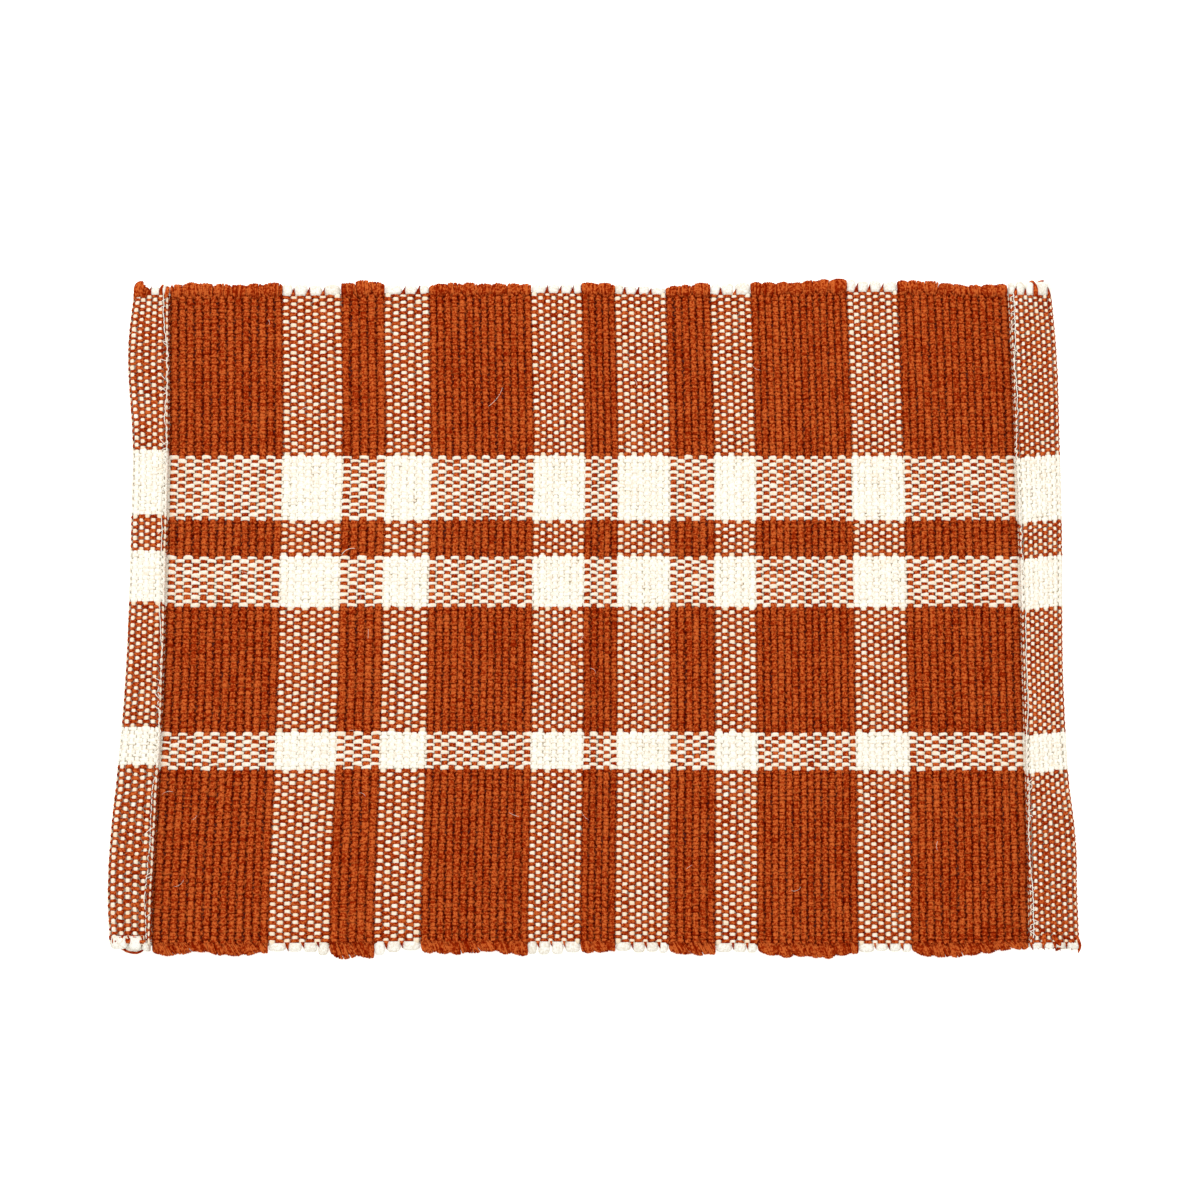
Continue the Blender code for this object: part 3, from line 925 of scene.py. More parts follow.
@dataclass
class WeftYarns:
    """The thick soft yarns that run from the near side to the far side."""

    ribbon: Ribbon
    rows: Rows
    rng: np.random.Generator
    rise: float = 0.28
    half_thick: float = 0.74
    # Half a yarn's width as a share of the spacing: rust, cream, and cream in the hems
    rust_share: float = 0.44
    cream_share: float = 0.41
    hem_share: float = 0.385
    # How much of that width it keeps where it lies under a warp
    under_share: float = 0.95
    # Half the width of the flat top between its shoulders, as a share of the yarn's
    shoulder: float = 0.56
    end: float = 160.8
    # By what share a bend presses a yarn narrower, and what is left of one on the sewn fold
    bend_press: float = 0.22
    fold_width: float = 0.62
    fold_thick: float = 0.8
    # How far a yarn of some spacing wanders, along its length and as a whole
    sway: tuple[float, float] = (0.14, 0.07)
    sway_pitch: float = 3.5
    # How uneven a yarn's rise and thickness are, and its width from yarn to yarn and along it
    rise_noise: float = 0.03
    thick_noise: float = 0.04
    width_noise: tuple[float, float] = (0.04, 0.035)
    # How rare slubs are, and how much they widen and thicken a yarn
    slub_from: float = 2.3
    slub_wide: float = 0.16
    slub_thick: float = 0.25
    # How much the tone differs from yarn to yarn and along each
    tone_noise: tuple[float, float] = (0.025, 0.04)
    # How far a cream weft's tone sinks between rust warps, and how unevenly
    tint: tuple[float, float] = (0.33, 0.09)

    def tubes(self, columns: np.ndarray, shown: bool) -> Tubes:
        """Work out some weft yarns.

        At each crossing the yarn lies level for half the warp's spacing. Where rust crosses
        rust it rises to one crest instead. Its section has a flat top between two shoulders on
        the side that shows, and one point on the other.

        Args:
            columns: The numbers of the weft yarns, all of one colour.
            shown: False for yarns that a hem hides, which get fewer stations and sides.

        Returns:
            The tubes.
        """
        rust = self.ribbon.rust[columns[0]]
        level = shown & ~(self.rows.rust & rust)
        row = np.repeat(np.arange(self.rows.count), np.where(level, 2, 1))
        first = np.concatenate([[True], row[1:] != row[:-1]])
        offset = np.where(level[row], np.where(first, 0.25, -0.25), 0.0)
        inside = self.rows.middles()[row] + self.rows.pitch * offset
        cell = np.concatenate([[0], row + 0.5 - offset, [self.rows.count]])
        row = np.concatenate([[0], row, [self.rows.count - 1]])
        body_y = np.concatenate([[self.end], inside, [-self.end]])
        n, m = len(columns), len(body_y)
        q0 = columns[:, None] + 0.5
        y = self.rows.shifted(self.ribbon, q0, body_y[None, :] + 0 * q0)
        pitch = self.ribbon.pitches()[columns][:, None]
        spot = self.ribbon.at(q0 + 0 * y, y)
        over = np.where((columns[:, None] + row[None, :]) % 2 == 1, 1.0, -1.0)
        over[:, 0] = over[:, -1] = 0
        noise = self.rng.standard_normal((n, m))
        lift = over * self.rise * spot.squash + self.rise_noise * noise
        sway = self.sway[0] * soft_noise(self.rng, n, m, 15)
        sway = sway + self.sway[1] * self.rng.standard_normal((n, 1))
        sway = sway * pitch / self.sway_pitch
        x = spot.x + spot.normal_x * lift + spot.normal_z * sway
        z = spot.z + spot.normal_z * lift - spot.normal_x * sway
        stretch = self.ribbon.stretch[columns][:, None]
        front, fold = stretch == Stretch.BODY, stretch == Stretch.FOLD
        share = self.rust_share if rust else np.where(front, self.cream_share, self.hem_share)
        half = pitch * share * np.where(np.where(front, over, -over) > 0, 1.0, self.under_share)
        half = half * (1 - self.bend_press * np.abs(spot.normal_x))
        half = half * np.where(fold, self.fold_width, 1.0)
        half = half * (1 + self.width_noise[0] * self.rng.standard_normal((n, 1)))
        slub = np.maximum(soft_noise(self.rng, n, m, 6) - self.slub_from, 0)
        half = half * (1 + self.width_noise[1] * soft_noise(self.rng, n, m, 5))
        half = half * (1 + self.slub_wide * slub)
        thick = self.half_thick * spot.squash * (1 + self.thick_noise * noise + self.slub_thick * slub)
        thick = thick * np.where(fold, self.fold_thick, 1.0)
        flip = np.where(front, 1.0, -1.0)[:, :, None] if shown else 1.0
        shoulder, nil = self.shoulder * half, 0 * half
        across = np.stack([-half, -shoulder, shoulder, half, nil], axis=2) * flip
        up = np.stack([nil, thick, thick, nil, -thick], axis=2) * flip
        # The side points and the back point take painted shade; the flat top between the shoulders does not
        depth = np.array([1.0, 0, 0, 1.0, 1.0])
        if not shown:
            kept = [0, 1, 3, 4]
            across, up, depth = across[:, :, kept], up[:, :, kept], depth[kept]
        nx, nz = spot.normal_x[:, :, None], spot.normal_z[:, :, None]
        side_x, side_z = x[:, :, None] + nx * up + nz * across, z[:, :, None] + nz * up - nx * across
        points = np.stack(np.broadcast_arrays(side_x, y[:, :, None], side_z), axis=3)
        tone = self.tone_noise[0] * self.rng.standard_normal((n, 1))
        tone = tone + self.tone_noise[1] * soft_noise(self.rng, n, m, 5)
        if not rust:
            tint = self.tint[0] + self.tint[1] * soft_noise(self.rng, n, m, 2)
            tone = tone - self.rows.rust[row][None, :] * tint
        return Tubes(points, np.abs(y - y[:, :1]), tone, depth, cell[None, :])

    def build(self) -> list[bpy.types.Object]:
        """Make the weft pieces.

        Returns:
            The rust wefts of the left and right half, the cream wefts, and those of the hems.
        """
        ribbon = self.ribbon
        body, hidden = ribbon.stretch == Stretch.BODY, ribbon.hidden()
        rust, cream = np.flatnonzero(ribbon.rust), np.flatnonzero(body & ~ribbon.rust)
        shown, unseen = np.flatnonzero(~body & ~hidden), np.flatnonzero(hidden)
        half = len(rust) // 2
        rust_finish, cream_finish = RUST_WEFT.material(), CREAM_WEFT.material()
        return [
            make_piece("rust_weft_left", [self.tubes(rust[:half], True)], rust_finish),
            make_piece("rust_weft_right", [self.tubes(rust[half:], True)], rust_finish),
            make_piece("cream_weft", [self.tubes(cream, True)], cream_finish),
            make_piece("hem_weft", [self.tubes(shown, True), self.tubes(unseen, False)], cream_finish),
        ]


@dataclass
class Selvedges:
    """The loops in which the weft turns back at the far and near sides."""

    ribbon: Ribbon
    rows: Rows
    rng: np.random.Generator
    # How far past the outermost warp's middle the turns, the strands and the tips begin
    turn_gap: float = 0.7
    strand_gaps: tuple[float, float] = (-0.9, -0.3)
    notch_gap: float = 0.4
    # The fan of turns at the near left corner: how much further in it begins, and where it is
    fan_back: float = 3.0
    fan: tuple[float, float] = (-226.3, -211.6)
    reach: float = 165.0
    half_thick: float = 1.2
    # The least spacing of two cuts between turns, in weft yarns
    least_turn: float = 1.2
    # The least that a turn stands out, and how uneven the turns are in reach and lean
    least_out: float = 1.5
    reach_noise: float = 0.3
    lean_noise: float = 0.075
    # A rust turn against a cream one: how much shorter, how thin, and both widths
    rust_short: float = 0.4
    rust_thin: float = 0.75
    fullness: tuple[float, float] = (1.1, 1.05)
    # The spacing of the strands in weft yarns, and their mean lean on each side
    strand_step: float = 0.23
    far_lean: float = 0.05
    near_lean: float = 0.8
    strand_half: float = 0.42
    # How much further the middle of a turn stands out than its ends, and the arch's power
    bump: float = 1.6
    arch_power: float = 0.65
    # The weft yarn at the far left corner whose end is rust
    corner: float = 8.8
    # Length of the tips between cream turns on each side, and their lean in weft yarns
    lengths: tuple[float, float] = (4.6, 3.5)
    lean: float = 0.25
    near_notch: float = 0.75

    def start(self, x: np.ndarray, far: bool) -> np.ndarray:
        """Work out how far from the mat's middle line the outermost warp's middle lies.

        Args:
            x: Places along the mat.
            far: True for the far side.

        Returns:
            The distances, which are shorter at the fan, where the turns begin further in.
        """
        y = self.rows.middles()[0 if far else -1]
        fan = 0.0 if far else self.fan_back * ((x > self.fan[0]) & (x < self.fan[1]))
        return np.abs(y + self.rows.drift(x, y + 0 * x)) - fan

    def tops(self, x: np.ndarray, far: bool) -> np.ndarray:
        """Return how far from the mat's middle line the selvedge reaches at each place along."""
        return self.reach + smooth_read(FAR_WAVE if far else NEAR_WAVE, 1, x)

    def ways(self, q: np.ndarray) -> np.ndarray:
        """Return 1 where the cloth shows its front at each place, and -1 where it shows its back."""
        return np.where(self.ribbon.stretch[q.astype(int)] <= Stretch.TOP, -1, 1)

    def stripe_spans(self) -> list[tuple[int, int]]:
        """Return the first column and the column past the last of each run of one colour."""
        cuts = (np.flatnonzero(np.diff(self.ribbon.rust)) + 1).tolist()
        return list(zip([0] + cuts, cuts + [self.ribbon.columns]))

    def groups(self, far: bool) -> list[tuple[float, float]]:
        """Cut the weft yarns into turns.

        A cut lies on the middle of each yarn that shows over the outermost warp, but for the
        first and last of its stripe. Those are the odd yarns on the far side and the even
        ones on the near side, and the others where the cloth shows its back.

        Args:
            far: True for the far side.

        Returns:
            The place where each turn starts and the place where it ends.
        """
        found = []
        for first, last in self.stripe_spans():
            inner = np.arange(first + 1, last - 1)
            # At the near left corner the cuts lie one yarn further on
            odd = ((self.ways(inner) > 0) == far) ^ (not far and last == HEM_YARNS[0])
            cuts = inner[inner % 2 == odd] + 0.5
            cuts = cuts[np.diff(cuts, prepend=first) > self.least_turn]
            places = [float(first), *cuts.tolist(), float(last)]
            found += zip(places, places[1:])
        return found

    def is_rust(self, span: tuple[float, float], far: bool) -> bool:
        """Say whether the turn over a span is rust, as one cream yarn's end at a far corner is."""
        return bool((far and span[0] <= self.corner < span[1]) or self.ribbon.rust[int(span[0])])

    def turns(self, groups: list[tuple[float, float]], far: bool) -> Tubes:
        """Work out some turns.

        A turn is a flat bullet: its width and thickness follow a power curve that stays near
        full until close to its rounded end. A cream one also narrows a little towards its
        foot. The section is an oval of eight points, cut level at its top and bottom.

        Args:
            groups: The place where each turn starts and the place where it ends.
            far: True for the far side.

        Returns:
            The tubes.
        """
        n, sides = len(groups), 8
        first, last = np.array(groups).T
        rust = np.array([self.is_rust(span, far) for span in groups])[:, None]
        share = np.array([0.0, 0.3, 0.55, 0.75, 0.9, 0.98])
        squeeze = (1 - share**4.5) ** (1 / 2.8) * np.where(rust, 1.0, 1 - 0.2 * (1 - share) ** 2)
        angle = 2 * math.pi * (np.arange(sides) + 0.5) / sides
        mid_q = (first + last) / 2
        flat = self.ribbon.at(mid_q, 0 * mid_q)
        reach = self.tops(flat.x, far) + self.reach_noise * self.rng.standard_normal(n)
        reach = reach - np.where(rust[:, 0], self.rust_short, 0.0)
        start = self.start(flat.x, far) + self.turn_gap
        reach = np.maximum(reach, start + self.least_out)
        out = start[:, None] + (reach - start)[:, None] * share[None, :]
        lean = self.lean_noise * self.rng.standard_normal((n, 1)) * share[None, :] ** 2
        half_q = (last - first)[:, None] * 0.5 * (squeeze * np.where(rust, *self.fullness))
        q = mid_q[:, None, None] + half_q[:, :, None] * np.cos(angle) + lean[:, :, None]
        q = np.clip(q, 0.001, self.ribbon.columns - 0.001)
        y = (1.0 if far else -1.0) * out[:, :, None]
        spot = self.ribbon.at(q, y)
        most = self.half_thick * spot.squash * np.where(rust, self.rust_thin, 1.0)[:, :, None]
        thick = np.clip(1.15 * most * squeeze[:, :, None] * np.sin(angle), -most, most)
        run = np.tile(7.0 * share, (n, 1))
        tone = 0.05 * self.rng.standard_normal((n, 1))
        # Rust turns are darkened by a steady share all over; as painted shade, the ring at each turn's foot
        # is darkened more where it goes into the cloth
        depth = np.where(rust, 0.5, 0.0)[:, :, None] + np.zeros((n, len(share), sides))
        depth[:, 0] = 0.6
        return Tubes(spot.raised(y, thick), run, tone, depth)

    def strands(self, far: bool) -> Tubes:
        """Work out the strands of yarn that wrap over the rust turns.

        Each strand is a flat tube that rises out of the cloth, runs outwards with a small
        lean and turns down round the outer side. The strands of a turn spread apart as they
        run out. Their reach is the selvedge's wave plus a slow and a quick random part and an
        arch over the turn, which is half a sine to a power and is lower for a narrow turn.

        Args:
            far: True for the far side.

        Returns:
            The tubes.
        """
        spans = [span for span in self.stripe_spans() if self.ribbon.rust[span[0]]]
        step = self.strand_step
        runs = [np.arange(low + 0.4 * step, high, step) for low, high in spans]
        limits = np.repeat(np.array(spans), [len(run) for run in runs], axis=0)
        q0 = np.concatenate(runs)
        n, sides = len(q0), 6
        q0 = q0 + 0.03 * self.rng.standard_normal(n)
        flat = self.ribbon.at(q0, 0 * q0)
        slow = soft_noise(self.rng, 1, n, 7)[0]
        reach = self.tops(flat.x, far) + 0.2 * slow + 0.03 * self.rng.standard_normal(n) - 0.1
        starts, ends = np.array(self.groups(far)).T
        turn = np.searchsorted(starts, q0, side="right") - 1
        along = np.clip((q0 - starts[turn]) / (ends[turn] - starts[turn]), 0, 1)
        arch = np.sin(math.pi * along) ** self.arch_power
        reach += self.bump * (arch - 0.75) * np.minimum(1, (ends - starts)[turn] / 2)
        share, height, spread, half, foot_shade = STRAND.T
        lift = height * (0.75 + 0.3 * arch)[:, None]
        foot = self.start(flat.x, far) + self.strand_gaps[0 if far else 1] - 0.7 * arch
        foot += 0.12 * self.rng.standard_normal(n)
        out = foot[:, None] + (reach - foot)[:, None] * share[None, :]
        y = out if far else -out
        middle = self.far_lean if far else self.near_lean
        lean = middle + 0.18 * soft_noise(self.rng, 1, n, 9)[0] + 0.5 * (along - 0.5)
        q = q0[:, None] + lean[:, None] * (spread[None, :] - 0.4)
        q = np.clip(q, limits[:, :1] + 0.12, limits[:, 1:] - 0.12)
        spot = self.ribbon.at(q, y)
        angle = 2 * math.pi * np.arange(sides) / sides
        half = half * (1 + 0.1 * self.rng.standard_normal((n, 1)))
        across = half[:, :, None] * np.cos(angle)
        # The section turns with the path, so that it stays thin as it rounds the outer side
        slope_y, slope_z = np.gradient(y, axis=1), np.gradient(lift, axis=1)
        size = np.hypot(slope_y, slope_z)
        thick = self.strand_half * np.sin(angle)
        points = np.stack(
            [
                spot.x[:, :, None] + across,
                y[:, :, None] - thick * (slope_z / size)[:, :, None],
                (spot.z + lift)[:, :, None] + thick * (slope_y / size)[:, :, None],
            ],
            axis=3,
        )
        run = run_along(np.hypot(np.diff(y, axis=1), np.diff(lift, axis=1)))
        tone = 0.09 * self.rng.standard_normal((n, 1))
        # Painted shade: the groove at each strand's foot, the low ends of each arch between bundles, and
        # the strands' sides
        groove_shade = foot_shade + 0.7 * (1 - arch[:, None]) ** 2
        depth = np.maximum(groove_shade[:, :, None], 0.75 * np.abs(np.cos(angle)) ** 2)
        return Tubes(points, run, tone, depth)

    def notches(self, far: bool) -> Tubes:
        """Work out the tips of the outermost warp that show between the cream turns; they are yarn, and
        their darkening is painted shade of the gaps between the turns.

        Each is a thorn with a flat hexagon for a section. It narrows quickly from its foot in
        the cloth and leans to one side by a power of the way out.

        Args:
            far: True for the far side.

        Returns:
            The tubes.
        """
        spans = [span for span in self.groups(far) if not self.ribbon.rust[int(span[0])]]
        q0 = np.array([a[1] for a, b in zip(spans, spans[1:]) if a[1] == b[0]])
        n = len(q0)
        size = 1 + 0.12 * self.rng.standard_normal(n)
        share, half, high = NOTCH.T
        length = (self.lengths[0 if far else 1] * size)[:, None]
        start = self.start(self.ribbon.at(q0, 0 * q0).x, far) + self.notch_gap
        out = start[:, None] + length * share[None, :]
        y = out if far else -out
        lean = self.lean + 0.1 * self.rng.standard_normal((n, 1))
        lean = lean * self.ways(q0)[:, None] * share[None, :] ** 1.5
        half = size[:, None] * half * (1.0 if far else self.near_notch)
        q = (q0[:, None] + lean)[:, :, None] + half[:, :, None] * np.array([-1, -0.6, 0.6, 1, 0.6, -0.6])
        spot = self.ribbon.at(np.clip(q, 0.01, self.ribbon.columns - 0.01), y[:, :, None])
        up = high[None, :, None] * np.array([0, 1, 1, 0, -1, -1]) * spot.squash
        # The tone sinks towards the tip, as painted shade deep in the gap between two cream turns; depth
        # adds a steady share all over
        tone = 0.08 * self.rng.standard_normal((n, 1)) - 0.3 * share[None, :]
        return Tubes(spot.raised(y[:, :, None], up), np.abs(y - y[:, :1]), tone, 0.3)

    def build(self) -> list[bpy.types.Object]:
        """Make the turns of each colour.

        Returns:
            The rust turns, their strands, the cream turns and the tips between them.
        """
        found = {True: [], False: []}
        for far in (True, False):
            for is_rust, batches in found.items():
                groups = [span for span in self.groups(far) if self.is_rust(span, far) == is_rust]
                batches.append(self.turns(groups, far))
        rust, cream = RUST_TURN.material(), CREAM_TURN.material()
        return [
            make_piece("rust_turns", found[True], rust),
            make_piece("rust_turn_strands", [self.strands(True), self.strands(False)], rust),
            make_piece("cream_turns", found[False], cream),
            make_piece("rust_notches", [self.notches(True), self.notches(False)], rust),
        ]


@dataclass
class GroundCloth:
    """The thin closed sheet in the middle of the yarns, which closes the holes of the weave. Its darkened
    colours are painted shade in the pinholes.
    """

    ribbon: Ribbon
    rows: Rows
    half_thick: float = 0.12
    end: float = 161.0
    # How many lines cross the left hem and the right hem, and how many run along the mat
    left_lines: int = 29
    right_lines: int = 41
    lines_along: int = 24

    def build(self) -> bpy.types.Object:
        """Make the sheet.

        Its two faces are the ribbon moved a little each way along its normal, on one grid of
        places along and across, with a strip of quads all round its rim.

        Returns:
            The new object.
        """
        left, count = HEM_YARNS[0], self.ribbon.columns
        stripes = left + np.cumsum([0] + [stripe.yarns for stripe in STRIPES])
        hems = [np.linspace(0, left, self.left_lines), np.linspace(stripes[-1], count, self.right_lines)]
        q = np.unique(np.round(np.concatenate([*hems, stripes.astype(float)]), 6))
        q[-1] = count - 1e-6
        bands = self.rows.far - self.rows.pitch * np.cumsum([0] + [band.yarns for band in BANDS])
        y = np.unique(np.concatenate([np.linspace(-self.end, self.end, self.lines_along), bands[1:-1]]))
        place = self.rows.shifted(self.ribbon, q[:, None], y[None, :])
        spot = self.ribbon.at(q[:, None], place)
        faces = [spot.raised(place, way * self.half_thick).reshape(-1, 3) for way in (1.0, -1.0)]
        n, m = len(q), len(y)
        up = np.arange(n * m).reshape(n, m)
        down = up + n * m
        rim_up = np.concatenate([up[:-1, 0], up[-1, :-1], up[:0:-1, -1], up[0, :0:-1]])
        rim_down = rim_up + n * m
        quads = [
            np.stack([up[:-1, :-1], up[1:, :-1], up[1:, 1:], up[:-1, 1:]], axis=-1).reshape(-1, 4),
            np.stack([down[:-1, :-1], down[:-1, 1:], down[1:, 1:], down[1:, :-1]], axis=-1).reshape(-1, 4),
            np.stack([np.roll(rim_up, -1), rim_up, rim_down, np.roll(rim_down, -1)], axis=-1),
        ]
        mesh = bpy.data.meshes.new("ground_cloth")
        mesh.from_pydata((np.concatenate(faces) * MM).tolist(), [], np.concatenate(quads).tolist())
        mesh.update()
        column = ((q[:-1] + q[1:]) / 2).astype(int)
        row = (self.rows.far - (y[:-1] + y[1:]) / 2) / self.rows.pitch
        row = np.clip(np.floor(row).astype(int), 0, self.rows.count - 1)
        rust = (self.ribbon.rust[column][:, None].astype(float) + self.rows.rust[row][None, :]) / 2
        share = np.concatenate([rust.ravel(), rust.ravel(), np.full(len(rim_up), 0.5)])
        attribute = mesh.attributes.new("rust_share", "FLOAT", "FACE")
        attribute.data.foreach_set("value", share.astype(np.float32))
        return add_piece(mesh, self.finish())

    def finish(self) -> bpy.types.Material:
        """Build the finish that shows in the pinholes between the yarns, as painted shade.

        Returns:
            The material, a darkened rust or cream by the yarns round it that stands for the shade in the
            pinholes, under a fine noise.
        """
        made = new_material("pinhole_shade_cotton")
        tree = made.node_tree
        spot = add_node(tree, "TexCoord", {}, {}).outputs["Object"]
        fuzz = add_node(tree, "TexNoise", {}, {"Vector": spot, "Scale": 1400.0, "Detail": 2.0}).outputs
        ramp = add_node(tree, "ValToRGB", {}, {0: add_field(tree, "rust_share")})
        stops = ramp.color_ramp.elements
        # Darkened cream and dark rust: painted shade in the pinholes
        stops[0].color, stops[1].color = to_linear("#C4B69E"), to_linear("#5A1200")
        mixing = {"data_type": "RGBA", "blend_type": "MULTIPLY"}
        colours = {0: 0.5, 6: ramp.outputs["Color"], 7: fuzz["Color"]}
        shaded = add_node(tree, "Mix", mixing, colours).outputs[2]
        relief = add_node(tree, "Bump", {}, {"Height": fuzz["Fac"], "Strength": 0.4, "Distance": 0.2 * MM})
        look = {"Base Color": shaded, "Roughness": 0.95, "Normal": relief.outputs["Normal"]}
        cloth = add_node(tree, "BsdfPrincipled", {}, look).outputs["BSDF"]
        add_node(tree, "OutputMaterial", {}, {"Surface": cloth})
        return made


def tubes_along(
    paths: np.ndarray, widths: np.ndarray, thick: np.ndarray, sides: int, rng: np.random.Generator
) -> Tubes:
    """Carry an oval ring along each of several paths.

    At each station the ring's width lies level, square to the path seen from above, and its
    thickness square to both.

    Args:
        paths: An array of tubes, stations and coordinates.
        widths: Half widths, of tubes by stations.
        thick: Half thicknesses, of tubes by stations.
        sides: How many points the ring has.
        rng: The source of the tones.

    Returns:
        The tubes.
    """
    tangent = np.gradient(paths, axis=1)
    tangent /= np.linalg.norm(tangent, axis=2, keepdims=True)
    level = np.stack([tangent[..., 1], -tangent[..., 0], 0 * tangent[..., 0]], axis=2)
    level /= np.maximum(np.linalg.norm(level, axis=2, keepdims=True), 1e-6)
    upright = np.cross(level, tangent)
    angle = 2 * math.pi * np.arange(sides) / sides
    across = (widths[:, :, None] * np.cos(angle))[..., None] * level[:, :, None, :]
    up = (thick[:, :, None] * np.sin(angle))[..., None] * upright[:, :, None, :]
    run = run_along(np.linalg.norm(np.diff(paths, axis=1), axis=2))
    return Tubes(paths[:, :, None, :] + across + up, run, 0.05 * rng.standard_normal((len(paths), 1)))


@dataclass
class HemSewing:
    """The sewing thread that holds each hem down, just outside its inner fold.

    It lies on the back of the cloth, which looks up in the top layer, so its lifts are
    negative.
    """

    ribbon: Ribbon
    rng: np.random.Generator
    stitch: float = 3.4
    half: float = 0.23
    # How far the line lies from the fold in weft yarns, and where it ends
    inset: float = 0.85
    end: float = 160.5
    stations: int = 560
    # The thread's lift, and how far it dips: at the left near and far, and at the right
    lift: float = -1.3
    left_dips: tuple[float, float] = (1.5, 0.75)
    right_dip: float = 0.9
    crossing_count: int = 34

    def line(self, left: bool) -> Tubes:
        """Work out one running line of lock stitches.

        The thread wanders to either side by the sum of two sines, and dips into the cloth once
        a stitch, by the square of a cosine. On the left the dips grow deeper towards the near
        side.

        Args:
            left: True for the left hem.

        Returns:
            One long tube.
        """
        y = np.linspace(self.end, -self.end, self.stations)
        dip = np.cos(math.pi * y / self.stitch) ** 2
        inset = self.inset
        edge = BEFORE_FOLD[0] + inset if left else self.ribbon.columns - BEFORE_FOLD[1] - inset
        drift = 0.2 * np.sin(y / 26.0 + (0.4 if left else 2.0)) + 0.12 * np.sin(y / 7.7 + 1.0)
        jitter = 0.05 * soft_noise(self.rng, 1, len(y), 6)[0]
        q = edge + (drift + jitter) * (1.0 if left else -1.0)
        deep = np.interp(y, [-100.0, 40.0], self.left_dips) if left else self.right_dip
        path = self.ribbon.at(q, y).raised(y, self.lift + deep * dip)
        half = np.full((1, len(y)), self.half)
        return tubes_along(path[None], half, 0.85 * half, 4, self.rng)

    def crossings(self, left: bool) -> Tubes:
        """Work out short strands that cross the fold at a slant where the sewing is uneven.

        Args:
            left: True for the left hem.

        Returns:
            The tubes, more of them near the corners of the mat.
        """
        count = self.crossing_count
        pull = self.rng.uniform(-1, 1, count)
        y0 = 158.0 * np.sign(pull) * np.abs(pull) ** (0.6 if left else 0.4)
        share = np.linspace(0, 1, 7)
        start = BEFORE_FOLD[0 if left else 1] + self.rng.uniform(0.3, 0.8, (count, 1))
        from_end = start + self.rng.uniform(0.5, 1.2, (count, 1)) * share
        q = from_end if left else self.ribbon.columns - from_end
        slant = self.rng.uniform(1.0, 3.2, (count, 1)) * self.rng.choice([-1, 1], (count, 1))
        y = y0[:, None] + slant * share
        path = self.ribbon.at(q, y).raised(y, -(0.5 + 0.72 * np.sin(math.pi * share)[None, :]))
        half = np.full((count, len(share)), 0.85 * self.half)
        return tubes_along(path, half, half, 4, self.rng)

    def build(self) -> bpy.types.Object:
        """Make both lines of sewing and their crossing strands as one piece."""
        lines = [self.line(True), self.line(False), self.crossings(True), self.crossings(False)]
        return make_piece("hem_sewing", lines, SEWING_THREAD.material())


@dataclass
class LooseEnds:
    """Yarn ends that hang out at the corners, and a few stray hairs that lie on the cloth."""

    rng: np.random.Generator
    stations: int = 9
    hair_count: int = 24
    # Half the length and width that the hairs lie in, their half thickness and their height
    field_half: tuple[float, float] = (205, 155)
    hair_half: float = 0.09
    hair_height: float = 2.7

    def tails(self) -> list[Tubes]:
        """Work out the rust ends at the corners.

        Each is a smooth path through its points, narrows with the cube of the way along, and
        closes at its end in a round tip.

        Returns:
            The tubes.
        """
        share = np.linspace(0, 1, self.stations)
        found = []
        for half, narrowing, *points in TAILS:
            table = np.column_stack([np.linspace(0, 1, len(points)), points])
            path = np.stack([smooth_read(table, k, share) for k in (1, 2, 3)], axis=1)
            width = half * (1 - narrowing * share**3) * np.sqrt(1.05 - share**8)
            found.append(tubes_along(path[None], width[None], 0.75 * width[None], 7, self.rng))
        return found

    def hairs(self) -> Tubes:
        """Work out fine stray fibres.

        Each is an arc of a circle, seen from above, that rises by a sine towards its middle.

        Returns:
            The tubes.
        """
        # Where each starts, its heading, length, turn along its length and half thickness
        found = [(-123.6, 27.2, 1.0, 7.6, -1.0, 0.2), (-53.0, 102.0, 0.5, 12.0, 0.8, 0.1)]
        for _ in range(self.hair_count):
            place = self.rng.uniform(-1, 1, 2) * self.field_half
            turns = (self.rng.uniform(0, 6.28), self.rng.uniform(2.5, 6.5), self.rng.uniform(-1.6, 1.6))
            found.append((*place, *turns, self.hair_half))
        share = np.linspace(0, 1, self.stations)
        x0, y0, heading, length, bend, half = (np.array(column)[:, None] for column in zip(*found))
        heading, step = heading + bend * share, length / (self.stations - 1)
        x = x0 + np.cumsum(np.cos(heading) * step, axis=1)
        y = y0 + np.cumsum(np.sin(heading) * step, axis=1)
        z = self.hair_height + 0.9 * np.sin(math.pi * share)[None, :] + 0 * x
        half = half * (1 - 0.4 * share[None, :])
        return tubes_along(np.stack([x, y, z], axis=2), half, half, 3, self.rng)

    def build(self) -> list[bpy.types.Object]:
        """Make the rust ends and the stray hairs."""
        return [
            make_piece("rust_tails", self.tails(), RUST_TURN.material()),
            make_piece("stray_hairs", [self.hairs()], SEWING_THREAD.material()),
        ]


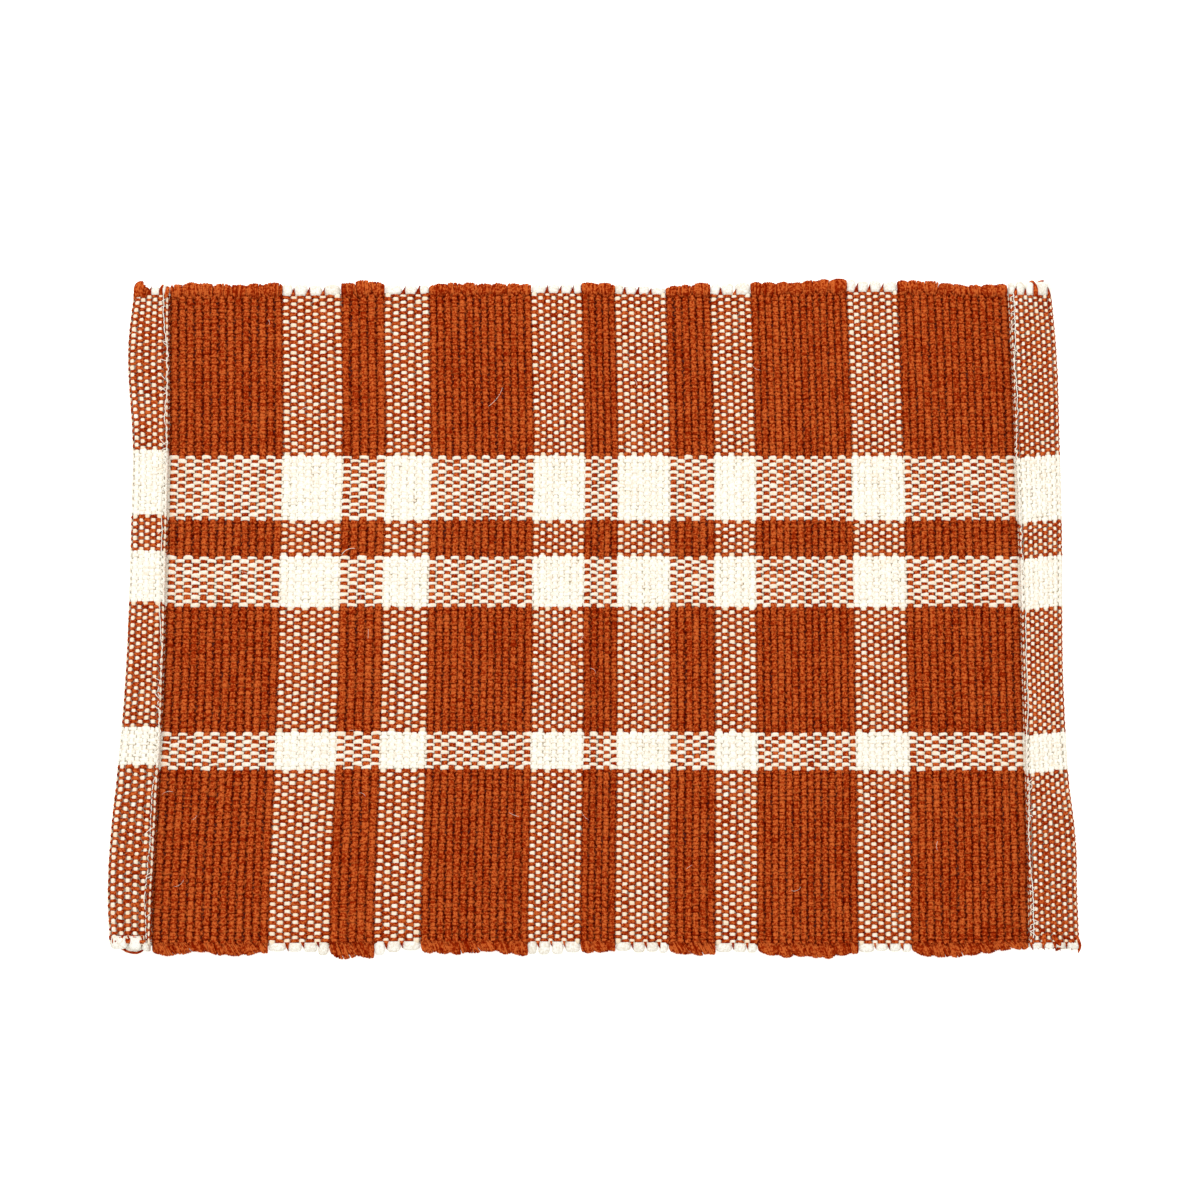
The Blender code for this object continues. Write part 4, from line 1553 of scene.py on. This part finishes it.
@dataclass
class Studio:
    """The camera, the light and the pale floor. The light and the floor are in metres."""

    aim: tuple[float, float, float] = (3.4, 5.4, 2.6)
    distance: float = 1350.0
    tilt: float = 10.0
    lens: float = 82.94
    sensor: float = 36.0
    lamp_place: tuple[float, float, float] = (-0.2, 0.8, 1.7)
    lamp_size: tuple[float, float] = (1.4, 0.8)
    lamp_watts: float = 17.0
    room_light: float = 0.8
    floor_half: float = 3.0

    def camera(self) -> None:
        """Set the camera above the near side, looking down with a small tilt."""
        data = bpy.data.cameras.new("camera")
        data.lens, data.sensor_width, data.clip_end = self.lens, self.sensor, 20.0
        camera = add_object("camera", data)
        tilt = math.radians(self.tilt)
        away = self.distance * np.array([0.0, -math.sin(tilt), math.cos(tilt)])
        camera.location = Vector((np.array(self.aim) + away) * MM)
        camera.rotation_euler = (tilt, 0.0, 0.0)
        bpy.context.scene.camera = camera

    def light(self) -> None:
        """Hang one large soft light overhead, in a bright white room."""
        data = bpy.data.lights.new("overhead", "AREA")
        data.shape, data.energy = "RECTANGLE", self.lamp_watts
        data.size, data.size_y = self.lamp_size
        lamp = add_object("overhead", data)
        lamp.location = self.lamp_place
        lamp.rotation_euler = (-Vector(self.lamp_place)).to_track_quat("-Z", "Y").to_euler()
        world = bpy.data.worlds.new("white_room")
        world.use_nodes = True
        background = world.node_tree.nodes["Background"].inputs
        background["Color"].default_value = (1, 1, 1, 1)
        background["Strength"].default_value = self.room_light
        bpy.context.scene.world = world
        bpy.context.scene.view_settings.view_transform = "Standard"

    def floor(self) -> None:
        """Lay a plain pale floor under the mat."""
        mesh, far = bpy.data.meshes.new("floor"), self.floor_half
        corners = [(-far, -far, 0), (far, -far, 0), (far, far, 0), (-far, far, 0)]
        mesh.from_pydata(corners, [], [(0, 1, 2, 3)])
        made = bpy.data.materials.new("white_paper")
        made.use_nodes = True
        shader = made.node_tree.nodes["Principled BSDF"].inputs
        shader["Base Color"].default_value = to_linear("#FBFBF7")
        shader["Roughness"].default_value = 0.9
        shader["Emission Color"].default_value = to_linear("#FFFFFA")
        shader["Emission Strength"].default_value = 0.5
        mesh.materials.append(made)
        piece = add_object("floor", mesh)


def main() -> None:
    """Build the mat's sub-assemblies in order, then the studio."""
    logging.basicConfig(level=logging.INFO, format="%(name)s %(message)s")
    rng = np.random.default_rng(SEED)
    ribbon, rows = Ribbon(), Rows()
    studio = Studio()
    studio.camera()
    yarns = WarpYarns(ribbon, rows, rng).build()
    yarns += WeftYarns(ribbon, rows, rng).build()
    yarns += Selvedges(ribbon, rows, rng).build()
    yarns.append(HemSewing(ribbon, rng).build())
    yarns += LooseEnds(rng).build()
    cloth = GroundCloth(ribbon, rows).build()
    length = float(ribbon.pitches().sum())
    log.info("flat cloth: %.1f mm long", length)
    studio.light()
    studio.floor()


if __name__ == "__main__":
    main()
